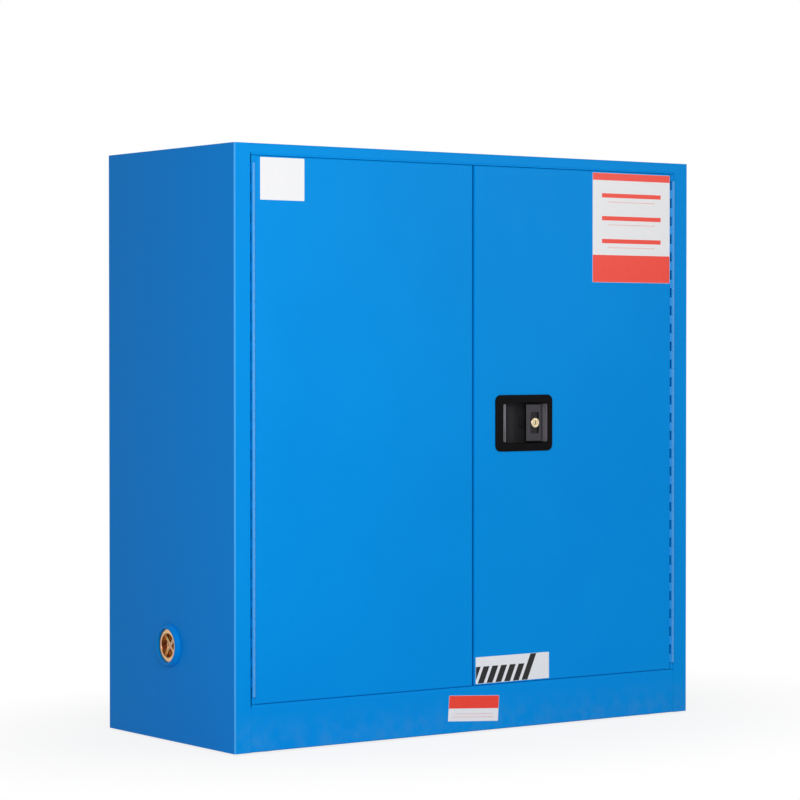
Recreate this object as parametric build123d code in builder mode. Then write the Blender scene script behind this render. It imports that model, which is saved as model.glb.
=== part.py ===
from build123d import *
import os
from math import atan2, cos, degrees, pi, radians, sin, sqrt

os.makedirs("parts", exist_ok=True)

# A two-door steel safety cabinet for chemicals. Millimetres, Z up, front towards -Y,
# origin on the floor under the middle of the cabinet.

# Shell
cabinet_width = 1090.0
cabinet_depth = 460.0
cabinet_height = 1120.0
sheet = 1.2
bend_radius = 1.8
wall_gap = 38.0
post_face = 36.0
head_face = 20.0
sill_height = 90.0
side_lip = 17.0
sill_lip = 17.0
sump_depth = 67.0
sump_corner = 5.0
skirt_gap = 4.0
back_flange = 15.0
sill_flange = 15.0
seam = 0.3
fit = 0.2
overrun = 30.0

# Wall spacers between the shell and the liner
spacer_flange = 20.0
spacer_inset = 125.0
back_spacer_inset = 285.0
spacer_margin = 150.0

# Doors
door_gap = 2.0
stop_gap = 2.0
meeting_gap = 4.0
panel_rim = 15.0
seal_inset = 8.0
seal_width = 18.0
seal_thickness = 1.0
seal_margin = 12.0

# Continuous hinges
hinge_gap = 8.0
hinge_margin = 14.0
hinge_proud = 1.0
knuckle_length = 18.0
knuckle_play = 0.3
barrel_play = 0.3
hinge_pin_radius = 2.0
running_clearance = 0.05
leaf_thickness = 1.2
leaf_width = 22.0
leaf_root_gap = 0.8

# Latch dish on the right door
latch_x = 122.5
latch_rise = 4.0
flange_width = 140.0
flange_height = 110.0
flange_corner = 12.0
flange_thickness = 2.5
flange_edge = 0.8
dish_width = 109.5
dish_height = 80.0
dish_corner = 7.0
dish_depth = 24.0
dish_wall = 1.5
dish_draft = 2.0
dish_shift = 3.0
ramp_run = 17.0
ramp_drop = 8.0
ramp_foot = 6.0
latch_fit = 0.3
stud_radius = 2.5
stud_length = 12.0
stud_inset = 7.0
latch_nut_height = 4.0
latch_nut_width = 8.0

# Latch lever, its pin and its drive arm
lever_left = 8.5
lever_height = 74.0
lever_face = 2.0
lever_thickness = 7.0
lever_nose = 2.5
lever_bevel = 1.8
lever_barrel = 6.0
lever_pivot = 43.0
lever_pin_radius = 3.0
lever_swing = 36.0
pin_tail = 1.5
arm_radius = 2.6
ball_radius = 3.5
drive_height = 24.2

# Key lock in the lever
lock_x = 29.0
lock_radius = 9.5
lock_front = -0.5
lock_rear = 18.0
lock_rim = 0.8
lock_boss_wall = 2.5
lock_boss_depth = 7.0
recess_width = 20.5
recess_height = 42.0
recess_depth = 2.5
recess_corner = 3.0
plug_radius = 6.0
plug_proud = 0.5
plug_tail_radius = 3.0
keyway_width = 1.8
keyway_height = 7.5
keyway_depth = 9.0
cam_length = 20.0
cam_width = 10.0
cam_thickness = 2.0
cam_gap = 0.8
hook_lip = 5.5
hook_post = 3.5
hook_height = 16.0
hook_thickness = 1.6
hook_clearance = 0.7

# Latch chassis, rotor, rods and centre bolt
chassis_thickness = 2.0
chassis_left = 15.0
chassis_right = 95.0
chassis_half = 48.0
rotor_stud_radius = 5.0
rotor_clip_radius = 8.0
rotor_clip_thickness = 1.2
rotor_gap = 0.5
rotor_thickness = 3.0
rotor_radius = 42.0
rotor_slot_root = 18.0
drive_play = 0.3
rod_throw_radius = 36.0
bolt_throw_radius = 28.0
throw_pin_radius = 3.0
throw_pin_tail = 0.8
rod_gap = 1.0
rod_thickness = 3.5
rod_width = 20.0
rod_foot = 8.0
rod_play = 0.3
rod_reach = 13.0
rod_nose = 3.0
rod_slot_run = 10.0
bolt_height = 16.0
bolt_heel = 9.0
bolt_reach = 11.0
guide_sheet = 1.5
guide_flange = 11.0
guide_length = 16.0
guide_near = 150.0
guide_far = 45.0
bolt_guide_x = 30.0
slot_play = 1.0
strike_width = 60.0
strike_depth = 16.0
strike_thickness = 2.0
keeper_height = 50.0
keeper_depth = 20.0
cover_width = 190.0
cover_height = 140.0
cover_corner = 6.0
cover_overlap = 14.0
cover_shift = 40.0

# Rod return spring
spring_radius = 4.2
spring_wire = 0.7
spring_turns = 8
spring_pitch = 6.0
spring_base = 70.0
spring_side_gap = 2.0
spring_end_gap = 0.3
spring_peg_radius = 2.0
spring_peg_length = 14.0
spring_seat_sheet = 2.0
spring_seat_margin = 1.0
spring_tab_height = 4.0

# Vents
vent_y = 0.0
vent_inset = 184.0
collar_radius = 41.0
collar_height = 8.5
collar_rise = 2.0
collar_rim = 4.0
collar_round = 2.5
mouth_radius = 32.2
sleeve_radius = 34.0
bore_radius = 29.5
vent_clearance = 0.1
seat_clearance = 0.05
gasket_thickness = 1.5
plug_flange = 3.0
plug_flange_gap = 0.5
plug_length = 14.0
plug_cup_radius = 23.0
plug_cup_depth = 13.5
plug_rib_width = 7.0
plug_rib_height = 8.0
plug_rib_turn = 45.0
arrestor_depth = 6.0
arrestor_rim = 4.0
arrestor_sheet = 1.5
arrestor_hole = 1.7
arrestor_pitch = 5.2
arrestor_rings = 4

# Shelf, its standards and clips
standard_width = 24.0
standard_depth = 6.0
standard_sheet = 1.5
standard_inset = 50.0
standard_foot_gap = 33.0
standard_head_gap = 29.6
slot_pitch = 50.0
slot_height = 14.0
slot_width = 5.0
clip_width = 18.0
clip_sheet = 2.0
clip_drop = 26.0
clip_tab = 18.0
clip_tongue = 4.0
clip_tongue_height = 12.0
shelf_margin = 60.0
shelf_rim = 24.0
shelf_side_gap = 1.5
shelf_corner = 4.0

# Levelling feet
foot_side_inset = 85.0
foot_end_inset = 40.0
foot_pad_radius = 20.0
foot_pad_height = 10.0
foot_pad_edge = 2.0
foot_stem_radius = 6.0
foot_stem_length = 24.0
foot_clearance = 0.1
foot_nut_width = 19.0
foot_nut_height = 10.0

# Ground stud on the right side
ground_inset = 70.0
ground_z = 60.0
ground_radius = 4.0
ground_thread = 0.7
ground_head_radius = 8.0
ground_head = 3.0
ground_washer_radius = 8.0
ground_washer = 1.6
ground_nut_width = 13.0
ground_nut_height = 6.5
ground_free = 6.0

# Places worked out from the sizes above
half_width = cabinet_width / 2
front = -cabinet_depth / 2
back = cabinet_depth / 2
outer_bend = bend_radius + sheet
door_thickness = wall_gap + 2 * sheet
wall_depth = wall_gap + 2 * sheet
jamb_x = half_width - post_face
lip_x = jamb_x - side_lip
head_z = cabinet_height - head_face
stop_y = front + door_thickness + stop_gap
stop_back = stop_y + sheet
liner_x = half_width - wall_depth
liner_back = back - wall_depth
ceiling_z = cabinet_height - wall_depth
sill_lip_z = sill_height + sill_lip
sump_floor = sill_lip_z - sump_depth
sump_bottom = sump_floor - sheet
bottom_z = foot_pad_height
door_bottom = sill_height + door_gap
door_top = head_z - door_gap
door_height = door_top - door_bottom
door_mid_z = (door_top + door_bottom) / 2
door_edge_x = jamb_x - hinge_gap
door_free_x = meeting_gap / 2
door_width = door_edge_x - door_free_x
door_mid_x = (door_edge_x + door_free_x) / 2
door_back = front + door_thickness
latch_height = door_mid_z + latch_rise
left_vent_height = vent_inset
right_vent_height = cabinet_height - vent_inset
shelf_depth = cabinet_depth - 2 * shelf_margin
standard_offset = shelf_depth / 2 - standard_inset
standard_bottom = sill_lip_z + standard_foot_gap
standard_top = ceiling_z - standard_head_gap
spacer_offset = back - spacer_inset
back_spacer_offset = half_width - back_spacer_inset
foot_x = half_width - foot_side_inset
foot_y = back - foot_end_inset
ground_y = back - ground_inset
LEFT, RIGHT = -1, 1


def folded_sheet(plane, points, radii, length, thickness=sheet, side=Side.LEFT):
    """A bent sheet: a line of folds, thickened to one side and drawn out along the plane's normal."""
    with BuildPart() as blank:
        with BuildSketch(plane):
            with BuildLine():
                FilletPolyline(*points, radius=radii)
                offset(amount=thickness, side=side)
            make_face()
        extrude(amount=length)
    return blank.part


# Side panels: outer wall, front post, jamb return and door stop from one folded sheet
side_fold = folded_sheet(
    Plane.XY.offset(skirt_gap),
    [
        (-half_width + back_flange, back - sheet),
        (-half_width, back - sheet),
        (-half_width, front),
        (-jamb_x, front),
        (-jamb_x, stop_y),
        (-lip_x, stop_y),
    ],
    [outer_bend, outer_bend, outer_bend, bend_radius],
    cabinet_height - skirt_gap,
)


def vent_face(side, height):
    """Plane on the outside of a side wall, its normal pointing out of the cabinet."""
    return Plane(origin=(side * half_width, vent_y, height), x_dir=(0, 1, 0), z_dir=(side, 0, 0))


def vent_section(side, height):
    """Plane through a vent's axis: local x is the radius, local y points out of the cabinet."""
    return Plane(origin=(side * half_width, vent_y, height), x_dir=(0, 0, 1), z_dir=(0, side, 0))


vent_hole_radius = sleeve_radius + fit

with BuildPart() as side_blank:
    add(side_fold)
    with Locations((-jamb_x - outer_bend, front + sheet, cabinet_height - sheet)):
        Box(
            outer_bend + side_lip + fit,
            stop_back - front,
            overrun,
            align=(Align.MIN, Align.MIN, Align.MIN),
            mode=Mode.SUBTRACT,
        )

with BuildPart() as left_side_panel:
    add(side_blank.part)
    with Locations(vent_face(LEFT, left_vent_height)):
        Cylinder(vent_hole_radius, 2 * overrun, mode=Mode.SUBTRACT)

ground_place = Plane(origin=(half_width, ground_y, ground_z), x_dir=(0, 1, 0), z_dir=(1, 0, 0))

with BuildPart() as right_side_panel:
    mirror(side_blank.part, about=Plane.YZ)
    with Locations(vent_face(RIGHT, right_vent_height)):
        Cylinder(vent_hole_radius, 2 * overrun, mode=Mode.SUBTRACT)
    with Locations(ground_place):
        Cylinder(ground_radius + fit, overrun, mode=Mode.SUBTRACT)

# Latch places that the door frame also needs, from the latch's own centre and the door's front
half_swing = lever_swing / 2
pivot_depth = lever_face + lever_barrel
chassis_front = dish_depth + dish_wall
chassis_back = chassis_front + chassis_thickness
rotor_front = chassis_back + rotor_gap
rotor_back = rotor_front + rotor_thickness
rod_front = rotor_back + rod_gap
rod_back = rod_front + rod_thickness
rod_mid = (rod_front + rod_back) / 2
rotor_mid = (rotor_front + rotor_back) / 2
arm_length = 2 * (rotor_mid - pivot_depth) / (1 + cos(radians(half_swing)))
arm_side = arm_length * sin(radians(half_swing))
half_turn = degrees(atan2(arm_side, drive_height))
rod_lift = rod_throw_radius * sin(radians(half_turn))
bolt_shift = bolt_throw_radius * sin(radians(half_turn))
mean_throw = (1 + cos(radians(half_turn))) / 2
rotor_x = latch_x + lever_pivot
top_rod_x = rotor_x - rod_throw_radius * mean_throw
bottom_rod_x = rotor_x + rod_throw_radius * mean_throw
bolt_z = latch_height - bolt_throw_radius * mean_throw
rod_y = front + rod_mid
rod_slot_width = rod_width + 2 * slot_play
rod_slot_depth = rod_thickness + 2 * slot_play
bolt_slot_height = bolt_height + 2 * slot_play

# Top panel: roof, head rail, soffit and head stop from one folded sheet
ledge_end = stop_y - bend_radius
head_line = [
    (back - 2 * sheet, cabinet_height),
    (front, cabinet_height),
    (front, head_z),
]
head_face_fold = folded_sheet(
    Plane.YZ.offset(-jamb_x + seam),
    head_line + [(ledge_end, head_z)],
    [outer_bend, outer_bend],
    2 * (jamb_x - seam),
)
head_stop_fold = folded_sheet(
    Plane.YZ.offset(-lip_x + seam),
    head_line + [(stop_y, head_z), (stop_y, ceiling_z)],
    [outer_bend, outer_bend, bend_radius],
    2 * (lip_x - seam),
)
roof_flange_half = half_width - back_flange - seam
roof_flange_fold = folded_sheet(
    Plane.YZ.offset(-roof_flange_half),
    [(back - sheet, cabinet_height - back_flange), (back - sheet, cabinet_height), (0, cabinet_height)],
    [outer_bend],
    2 * roof_flange_half,
)
roof_half = half_width - sheet
roof_front = front + sheet
roof_back = back - 2 * sheet

with BuildPart() as top_panel:
    with BuildSketch(Plane.XY.offset(cabinet_height - sheet)):
        with Locations((0, (roof_front + roof_back) / 2)):
            RectangleRounded(2 * roof_half, roof_back - roof_front, bend_radius)
    extrude(amount=sheet)
    add(head_face_fold)
    add(head_stop_fold)
    add(roof_flange_fold)
    with Locations((top_rod_x, rod_y, head_z)):
        Box(rod_slot_width, rod_slot_depth, overrun, mode=Mode.SUBTRACT)

# Back panel lies on the back flanges of the sides and the roof
with BuildPart() as back_panel:
    with BuildSketch(Plane.XY.offset(skirt_gap)):
        with Locations((0, back - sheet / 2)):
            Rectangle(2 * (half_width - outer_bend), sheet)
    extrude(amount=cabinet_height - outer_bend - skirt_gap)

# Sill: plinth face, ledge under the doors and lower door stop from one folded sheet
sill_line = [
    (front + sill_flange, skirt_gap),
    (front, skirt_gap),
    (front, sill_height),
]
sill_face_fold = folded_sheet(
    Plane.YZ.offset(-jamb_x + seam),
    sill_line + [(ledge_end, sill_height)],
    [outer_bend, outer_bend],
    2 * (jamb_x - seam),
    side=Side.RIGHT,
)
sill_stop_fold = folded_sheet(
    Plane.YZ.offset(-lip_x + seam),
    sill_line + [(stop_y, sill_height), (stop_y, sill_lip_z)],
    [outer_bend, outer_bend, bend_radius],
    2 * (lip_x - seam),
    side=Side.RIGHT,
)

with BuildPart() as sill_panel:
    add(sill_face_fold)
    add(sill_stop_fold)
    with Locations((bottom_rod_x, rod_y, sill_height)):
        Box(rod_slot_width, rod_slot_depth, overrun, mode=Mode.SUBTRACT)

# Bottom panel closes the wall cavity above the feet
bottom_back = back - 2 * sheet

with BuildPart() as bottom_panel:
    with BuildSketch(Plane.XY.offset(bottom_z)):
        with Locations((0, (stop_back + bottom_back) / 2)):
            RectangleRounded(2 * (half_width - sheet), bottom_back - stop_back, bend_radius)
        with Locations((0, (front + sheet + bottom_back) / 2)):
            Rectangle(2 * (lip_x - seam), bottom_back - front - sheet)
        with GridLocations(2 * foot_x, 2 * foot_y, 2, 2):
            Circle(foot_stem_radius + fit, mode=Mode.SUBTRACT)
    extrude(amount=sheet)


# Inner liner: two sides, a back and a ceiling behind the door stops
def side_liner(side, vent_height):
    with BuildPart() as liner:
        with BuildSketch(Plane.XY.offset(sump_bottom)):
            with Locations((side * (liner_x + sheet / 2), (stop_back + liner_back) / 2)):
                Rectangle(sheet, liner_back - stop_back)
        extrude(amount=ceiling_z - sump_bottom)
        with Locations(vent_face(side, vent_height)):
            Cylinder(vent_hole_radius, 2 * (wall_depth + overrun), mode=Mode.SUBTRACT)
    return liner


left_liner = side_liner(LEFT, left_vent_height)
right_liner = side_liner(RIGHT, right_vent_height)

with BuildPart() as back_liner:
    with BuildSketch(Plane.XY.offset(sump_bottom)):
        with Locations((0, liner_back + sheet / 2)):
            Rectangle(2 * (liner_x + sheet), sheet)
    extrude(amount=ceiling_z - sump_bottom)

with BuildPart() as ceiling_liner:
    with BuildSketch(Plane.XY.offset(ceiling_z)):
        with Locations((0, (stop_back + liner_back + sheet) / 2)):
            Rectangle(2 * (liner_x + sheet), liner_back + sheet - stop_back)
    extrude(amount=sheet)

# Leak-proof sump tray inside the liner, with rounded lower corners
with BuildPart() as sump_tray:
    with BuildSketch(Plane.XY.offset(sump_bottom)):
        with Locations((0, (stop_back + liner_back) / 2)):
            Rectangle(2 * (liner_x - fit), liner_back - stop_back - 2 * fit)
    extrude(amount=sill_lip_z - sump_bottom)
    fillet(sump_tray.faces().sort_by(Axis.Z)[0].edges(), radius=sump_corner)
    offset(amount=-sheet, openings=sump_tray.faces().sort_by(Axis.Z)[-1])

# Z-section spacers that hold the liner off the shell
spacer_outer = half_width - sheet
spacer_inner = liner_x + sheet
spacer_length = ceiling_z - 2 * spacer_margin
side_spacer = folded_sheet(
    Plane.XY.offset(spacer_margin),
    [
        (-spacer_outer, -spacer_flange),
        (-spacer_outer, 0),
        (-spacer_inner - sheet, 0),
        (-spacer_inner - sheet, spacer_flange),
    ],
    [outer_bend, bend_radius],
    spacer_length,
    side=Side.RIGHT,
)
back_spacer = folded_sheet(
    Plane.XY.offset(spacer_margin),
    [
        (-spacer_flange, back - sheet),
        (0, back - sheet),
        (0, liner_back + 2 * sheet),
        (spacer_flange, liner_back + 2 * sheet),
    ],
    [outer_bend, bend_radius],
    spacer_length,
    side=Side.RIGHT,
)

with BuildPart() as wall_spacers:
    with Locations((0, -spacer_offset, 0), (0, spacer_offset, 0)):
        add(side_spacer)
    mirror(about=Plane.YZ)
    with Locations((-back_spacer_offset, 0, 0), (back_spacer_offset, 0, 0)):
        add(back_spacer)


# Shelf standards: slotted channels on the liner's side walls
standard_blank = folded_sheet(
    Plane.XY.offset(standard_bottom),
    [
        (-liner_x, -standard_width / 2),
        (-liner_x + standard_depth, -standard_width / 2),
        (-liner_x + standard_depth, standard_width / 2),
        (-liner_x, standard_width / 2),
    ],
    standard_sheet,
    standard_top - standard_bottom,
    thickness=standard_sheet,
)
standard_face = liner_x - standard_depth
slot_count = int((standard_top - standard_bottom) / slot_pitch) - 1
slot_levels = [standard_bottom + slot_pitch * (number + 1) for number in range(slot_count)]

with BuildPart() as one_standard:
    add(standard_blank)
    with Locations(*[(-standard_face, 0, level) for level in slot_levels]):
        Box(3 * standard_sheet, slot_width, slot_height, mode=Mode.SUBTRACT)

with BuildPart() as shelf_standards:
    with Locations((0, -standard_offset, 0), (0, standard_offset, 0)):
        add(one_standard.part)
    mirror(about=Plane.YZ)

# Shelf clips: bent tabs hooked into the standards
clip_level = slot_levels[slot_count // 2]
shelf_z = clip_level + clip_tongue_height / 2

with BuildPart() as one_clip:
    with Locations((-standard_face, 0, shelf_z)):
        Box(clip_sheet, clip_width, clip_drop, align=(Align.MIN, Align.CENTER, Align.MAX))
        Box(clip_sheet + clip_tab, clip_width, clip_sheet, align=(Align.MIN, Align.CENTER, Align.MAX))
        Box(
            clip_tongue,
            slot_width - 2 * fit,
            clip_tongue_height,
            align=(Align.MAX, Align.CENTER, Align.MAX),
        )

with BuildPart() as shelf_clips:
    with Locations((0, -standard_offset, 0), (0, standard_offset, 0)):
        add(one_clip.part)
    mirror(about=Plane.YZ)

# Lift-out shelf: a leak-catching pan that rests on the clips
shelf_half = standard_face - shelf_side_gap

with BuildPart() as shelf:
    with BuildSketch(Plane.XY.offset(shelf_z)):
        Rectangle(2 * shelf_half, shelf_depth)
    extrude(amount=shelf_rim)
    fillet(shelf.faces().sort_by(Axis.Z)[0].edges(), radius=shelf_corner)
    offset(amount=-sheet, openings=shelf.faces().sort_by(Axis.Z)[-1])


# Vent collar: domed flange, plug seat and a sleeve through both walls
def vent_axis(side, height):
    return Axis((side * half_width, vent_y, height), (side, 0, 0))


def vent_collar(side, height):
    rim_radius = mouth_radius + collar_rim
    with BuildPart() as collar:
        with BuildSketch(vent_section(side, height)):
            with BuildLine():
                FilletPolyline(
                    (mouth_radius, collar_height),
                    (rim_radius, collar_height),
                    (collar_radius, collar_rise),
                    (collar_radius, 0),
                    radius=[collar_round, collar_round],
                )
                Polyline(
                    (collar_radius, 0),
                    (sleeve_radius, 0),
                    (sleeve_radius, -wall_depth),
                    (bore_radius, -wall_depth),
                    (bore_radius, 0),
                    (mouth_radius, 0),
                    (mouth_radius, collar_height),
                )
            make_face()
        revolve(axis=vent_axis(side, height))
    return collar


left_vent_collar = vent_collar(LEFT, left_vent_height)
right_vent_collar = vent_collar(RIGHT, right_vent_height)

plug_body_radius = bore_radius - vent_clearance
plug_seat = gasket_thickness + 2 * seat_clearance
plug_face = plug_seat + plug_flange
plug_cup_floor = plug_face - plug_cup_depth


# Vent plug: a flanged bung with a deep cup and a cross bar to turn it by
def vent_plug(side, height):
    flange_radius = mouth_radius - plug_flange_gap
    with BuildPart() as plug:
        with BuildSketch(vent_section(side, height)):
            with BuildLine():
                Polyline(
                    (0, -plug_length),
                    (plug_body_radius, -plug_length),
                    (plug_body_radius, plug_seat),
                    (flange_radius, plug_seat),
                    (flange_radius, plug_face),
                    (plug_cup_radius, plug_face),
                    (plug_cup_radius, plug_cup_floor),
                    (0, plug_cup_floor),
                    close=True,
                )
            make_face()
        revolve(axis=vent_axis(side, height))
        with Locations(vent_face(side, height).offset(plug_cup_floor)):
            with PolarLocations(0, 2, start_angle=plug_rib_turn, angular_range=180):
                Box(
                    2 * plug_cup_radius,
                    plug_rib_width,
                    plug_rib_height,
                    align=(Align.CENTER, Align.CENTER, Align.MIN),
                )
    return plug


left_vent_plug = vent_plug(LEFT, left_vent_height)
right_vent_plug = vent_plug(RIGHT, right_vent_height)


# Flat ring gasket under the plug's flange
def vent_gasket(side, height):
    with BuildPart() as gasket:
        with BuildSketch(vent_face(side, height).offset(seat_clearance)):
            Circle(mouth_radius - plug_flange_gap)
            Circle(plug_body_radius + vent_clearance, mode=Mode.SUBTRACT)
        extrude(amount=gasket_thickness)
    return gasket


left_vent_gasket = vent_gasket(LEFT, left_vent_height)
right_vent_gasket = vent_gasket(RIGHT, right_vent_height)


# Flame arrestor: a perforated disc with a rim, at the inner end of the sleeve
def flame_arrestor(side, height):
    outer_radius = bore_radius - fit
    with BuildPart() as arrestor:
        with BuildSketch(vent_face(side, height).offset(-wall_depth)):
            Circle(outer_radius)
            for ring in range(arrestor_rings):
                with PolarLocations(arrestor_pitch * (ring + 1), 6 * (ring + 1)):
                    Circle(arrestor_hole, mode=Mode.SUBTRACT)
        extrude(amount=arrestor_sheet)
        with BuildSketch(vent_face(side, height).offset(-wall_depth)):
            Circle(outer_radius)
            Circle(outer_radius - arrestor_rim, mode=Mode.SUBTRACT)
        extrude(amount=arrestor_depth)
    return arrestor


left_flame_arrestor = flame_arrestor(LEFT, left_vent_height)
right_flame_arrestor = flame_arrestor(RIGHT, right_vent_height)


# Levelling feet: a pad on a threaded stem, each in a nut welded to the bottom panel
def levelling_foot(x, y):
    with BuildPart() as foot:
        with Locations((x, y, 0)):
            Cylinder(foot_pad_radius, foot_pad_height, align=(Align.CENTER, Align.CENTER, Align.MIN))
        fillet(foot.edges().sort_by(Axis.Z)[0], radius=foot_pad_edge)
        with Locations((x, y, foot_pad_height)):
            Cylinder(foot_stem_radius, foot_stem_length, align=(Align.CENTER, Align.CENTER, Align.MIN))
    return foot


front_left_foot = levelling_foot(-foot_x, -foot_y)
front_right_foot = levelling_foot(foot_x, -foot_y)
back_left_foot = levelling_foot(-foot_x, foot_y)
back_right_foot = levelling_foot(foot_x, foot_y)

with BuildPart() as foot_nuts:
    with BuildSketch(Plane.XY.offset(bottom_z + sheet)):
        with GridLocations(2 * foot_x, 2 * foot_y, 2, 2):
            RegularPolygon(foot_nut_width / 2, 6, major_radius=False)
            Circle(foot_stem_radius + foot_clearance, mode=Mode.SUBTRACT)
    extrude(amount=foot_nut_height)

# Ground stud through the right side, with its washer and nut
ground_root = ground_washer + ground_nut_height
ground_root_radius = ground_radius - ground_thread

with BuildPart() as ground_stud:
    with Locations(ground_place.offset(-sheet)):
        Cylinder(ground_head_radius, ground_head, align=(Align.CENTER, Align.CENTER, Align.MAX))
        Cylinder(
            ground_root_radius,
            sheet + ground_root,
            align=(Align.CENTER, Align.CENTER, Align.MIN),
        )
    with Locations(ground_place.offset(ground_root)):
        Cylinder(ground_radius, ground_free, align=(Align.CENTER, Align.CENTER, Align.MIN))

with BuildPart() as ground_nut:
    with BuildSketch(ground_place):
        Circle(ground_washer_radius)
        Circle(ground_root_radius + running_clearance, mode=Mode.SUBTRACT)
    extrude(amount=ground_washer)
    with BuildSketch(ground_place.offset(ground_washer)):
        RegularPolygon(ground_nut_width / 2, 6, major_radius=False)
        Circle(ground_root_radius + running_clearance, mode=Mode.SUBTRACT)
    extrude(amount=ground_nut_height)

# Continuous hinges: knuckles on a frame leaf and a door leaf take turns along one pin
hinge_x = jamb_x - hinge_gap / 2
hinge_y = front - hinge_proud
hinge_bottom = door_bottom + hinge_margin
hinge_length = door_height - 2 * hinge_margin
knuckle_radius = hinge_gap / 2 - barrel_play
knuckle_count = 2 * round(hinge_length / (2 * knuckle_length))
knuckle_pitch = hinge_length / knuckle_count
leaf_start = hinge_y + knuckle_radius + leaf_root_gap


def hinge_leaf(leaf_x, towards, first):
    """One leaf of the left hinge; towards is the way from the leaf's seat to the pin."""
    seat_to_skin = leaf_x + towards * leaf_thickness
    web_outer = -hinge_x - towards * knuckle_radius
    with BuildPart() as knuckle:
        with BuildSketch():
            with Locations((-hinge_x, hinge_y)):
                Circle(knuckle_radius)
            with Locations(((web_outer + seat_to_skin) / 2, (hinge_y + leaf_start + leaf_thickness) / 2)):
                Rectangle(abs(seat_to_skin - web_outer), leaf_start + leaf_thickness - hinge_y)
            with Locations((-hinge_x, hinge_y)):
                Circle(hinge_pin_radius + running_clearance, mode=Mode.SUBTRACT)
        extrude(amount=knuckle_pitch - knuckle_play)
    with BuildPart() as leaf:
        with BuildSketch(Plane.XY.offset(hinge_bottom)):
            with Locations(((leaf_x + seat_to_skin) / 2, leaf_start + leaf_width / 2)):
                Rectangle(leaf_thickness, leaf_width)
        extrude(amount=hinge_length)
        starts = [hinge_bottom + knuckle_pitch * number for number in range(first, knuckle_count, 2)]
        with Locations(*[(0, 0, start + knuckle_play / 2) for start in starts]):
            add(knuckle.part)
    return leaf


left_hinge_frame_leaf = hinge_leaf(-jamb_x, 1, 1)
left_hinge_door_leaf = hinge_leaf(-door_edge_x, -1, 0)

with BuildPart() as left_hinge_pin:
    with Locations((-hinge_x, hinge_y, hinge_bottom)):
        Cylinder(hinge_pin_radius, hinge_length, align=(Align.CENTER, Align.CENTER, Align.MIN))

with BuildPart() as right_hinge_frame_leaf:
    mirror(left_hinge_frame_leaf.part, about=Plane.YZ)

with BuildPart() as right_hinge_door_leaf:
    mirror(left_hinge_door_leaf.part, about=Plane.YZ)

with BuildPart() as right_hinge_pin:
    mirror(left_hinge_pin.part, about=Plane.YZ)


# Door skins and inner panels: two pans, the inner one set inside the outer one's returns
def door_skin(side):
    with BuildPart() as skin:
        with BuildSketch(Plane.XZ.offset(-front)):
            with Locations((side * door_mid_x, door_mid_z)):
                Rectangle(door_width, door_height)
        extrude(amount=-door_thickness)
        fillet(skin.faces().sort_by(Axis.Y)[0].edges(), radius=outer_bend)
        offset(amount=-sheet, openings=skin.faces().sort_by(Axis.Y)[-1])
    return skin.part


def door_inner_panel(side):
    inset = 2 * (sheet + fit)
    with BuildPart() as panel:
        with BuildSketch(Plane.XZ.offset(-door_back)):
            with Locations((side * door_mid_x, door_mid_z)):
                Rectangle(door_width - inset, door_height - inset)
        extrude(amount=panel_rim)
        fillet(panel.faces().sort_by(Axis.Y)[-1].edges(), radius=outer_bend)
        offset(amount=-sheet, openings=panel.faces().sort_by(Axis.Y)[0])
    return panel.part


bolt_place = (0, rod_y, bolt_z)
bolt_slot = (2 * overrun, rod_slot_depth, bolt_slot_height)

with BuildPart() as left_door_skin:
    add(door_skin(LEFT))
    with Locations(bolt_place):
        Box(*bolt_slot, mode=Mode.SUBTRACT)

with BuildPart() as left_door_panel:
    add(door_inner_panel(LEFT))
    with Locations(bolt_place):
        Box(*bolt_slot, mode=Mode.SUBTRACT)

# Keeper plate for the centre bolt, behind the left door's free edge
keeper_x = -door_free_x - 2 * sheet - 2 * fit

with BuildPart() as bolt_keeper:
    with Locations((keeper_x, door_back - sheet - bend_radius, bolt_z)):
        Box(strike_thickness, keeper_depth, keeper_height, align=(Align.MAX, Align.MAX, Align.CENTER))
    with Locations(bolt_place):
        Box(*bolt_slot, mode=Mode.SUBTRACT)

# Meeting seal: a heat-swelling strip glued along the left door's free edge
with BuildPart() as meeting_seal:
    with Locations((-door_free_x, front + seal_inset, door_mid_z)):
        Box(
            seal_thickness,
            seal_width,
            door_height - 2 * seal_margin,
            align=(Align.MIN, Align.MIN, Align.CENTER),
        )

# Latch dish: cast flange and pocket with a finger ramp at the left
latch_plane = Plane(origin=(latch_x, front, latch_height), x_dir=(1, 0, 0), z_dir=(0, -1, 0))


def latch_plan(height):
    """Level plane through the latch: local x from its centre, local y the depth behind the door's front."""
    return Plane(origin=(latch_x, front, latch_height + height), x_dir=(1, 0, 0), z_dir=(0, 0, 1))


with BuildPart() as dish_space:
    with BuildSketch(latch_plane.offset(flange_thickness)):
        with Locations((dish_shift, 0)):
            RectangleRounded(dish_width, dish_height, dish_corner)
    extrude(amount=-dish_depth - flange_thickness, taper=dish_draft)

dish_left = dish_shift - dish_width / 2

with BuildPart() as finger_ramp:
    with BuildSketch(latch_plan(-dish_height / 2)):
        with BuildLine():
            Polyline(
                (dish_left, 0),
                (dish_left + ramp_run, ramp_drop),
                (dish_left + ramp_run + ramp_foot, dish_depth),
                (dish_left, dish_depth),
                close=True,
            )
        make_face()
    extrude(amount=dish_height)
    add(dish_space.part, mode=Mode.INTERSECT)

hook_left = lock_x - cam_length - hook_post
hook_front = lock_rear + cam_gap - hook_clearance - hook_thickness
stud_places = [
    (x_sign * (flange_width / 2 - stud_inset), z_sign * (flange_height / 2 - stud_inset))
    for x_sign in (LEFT, RIGHT)
    for z_sign in (-1, 1)
]
arm_slot_width = 2 * (arm_side + ball_radius + latch_fit)
arm_slot_height = 2 * (ball_radius + latch_fit)

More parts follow.
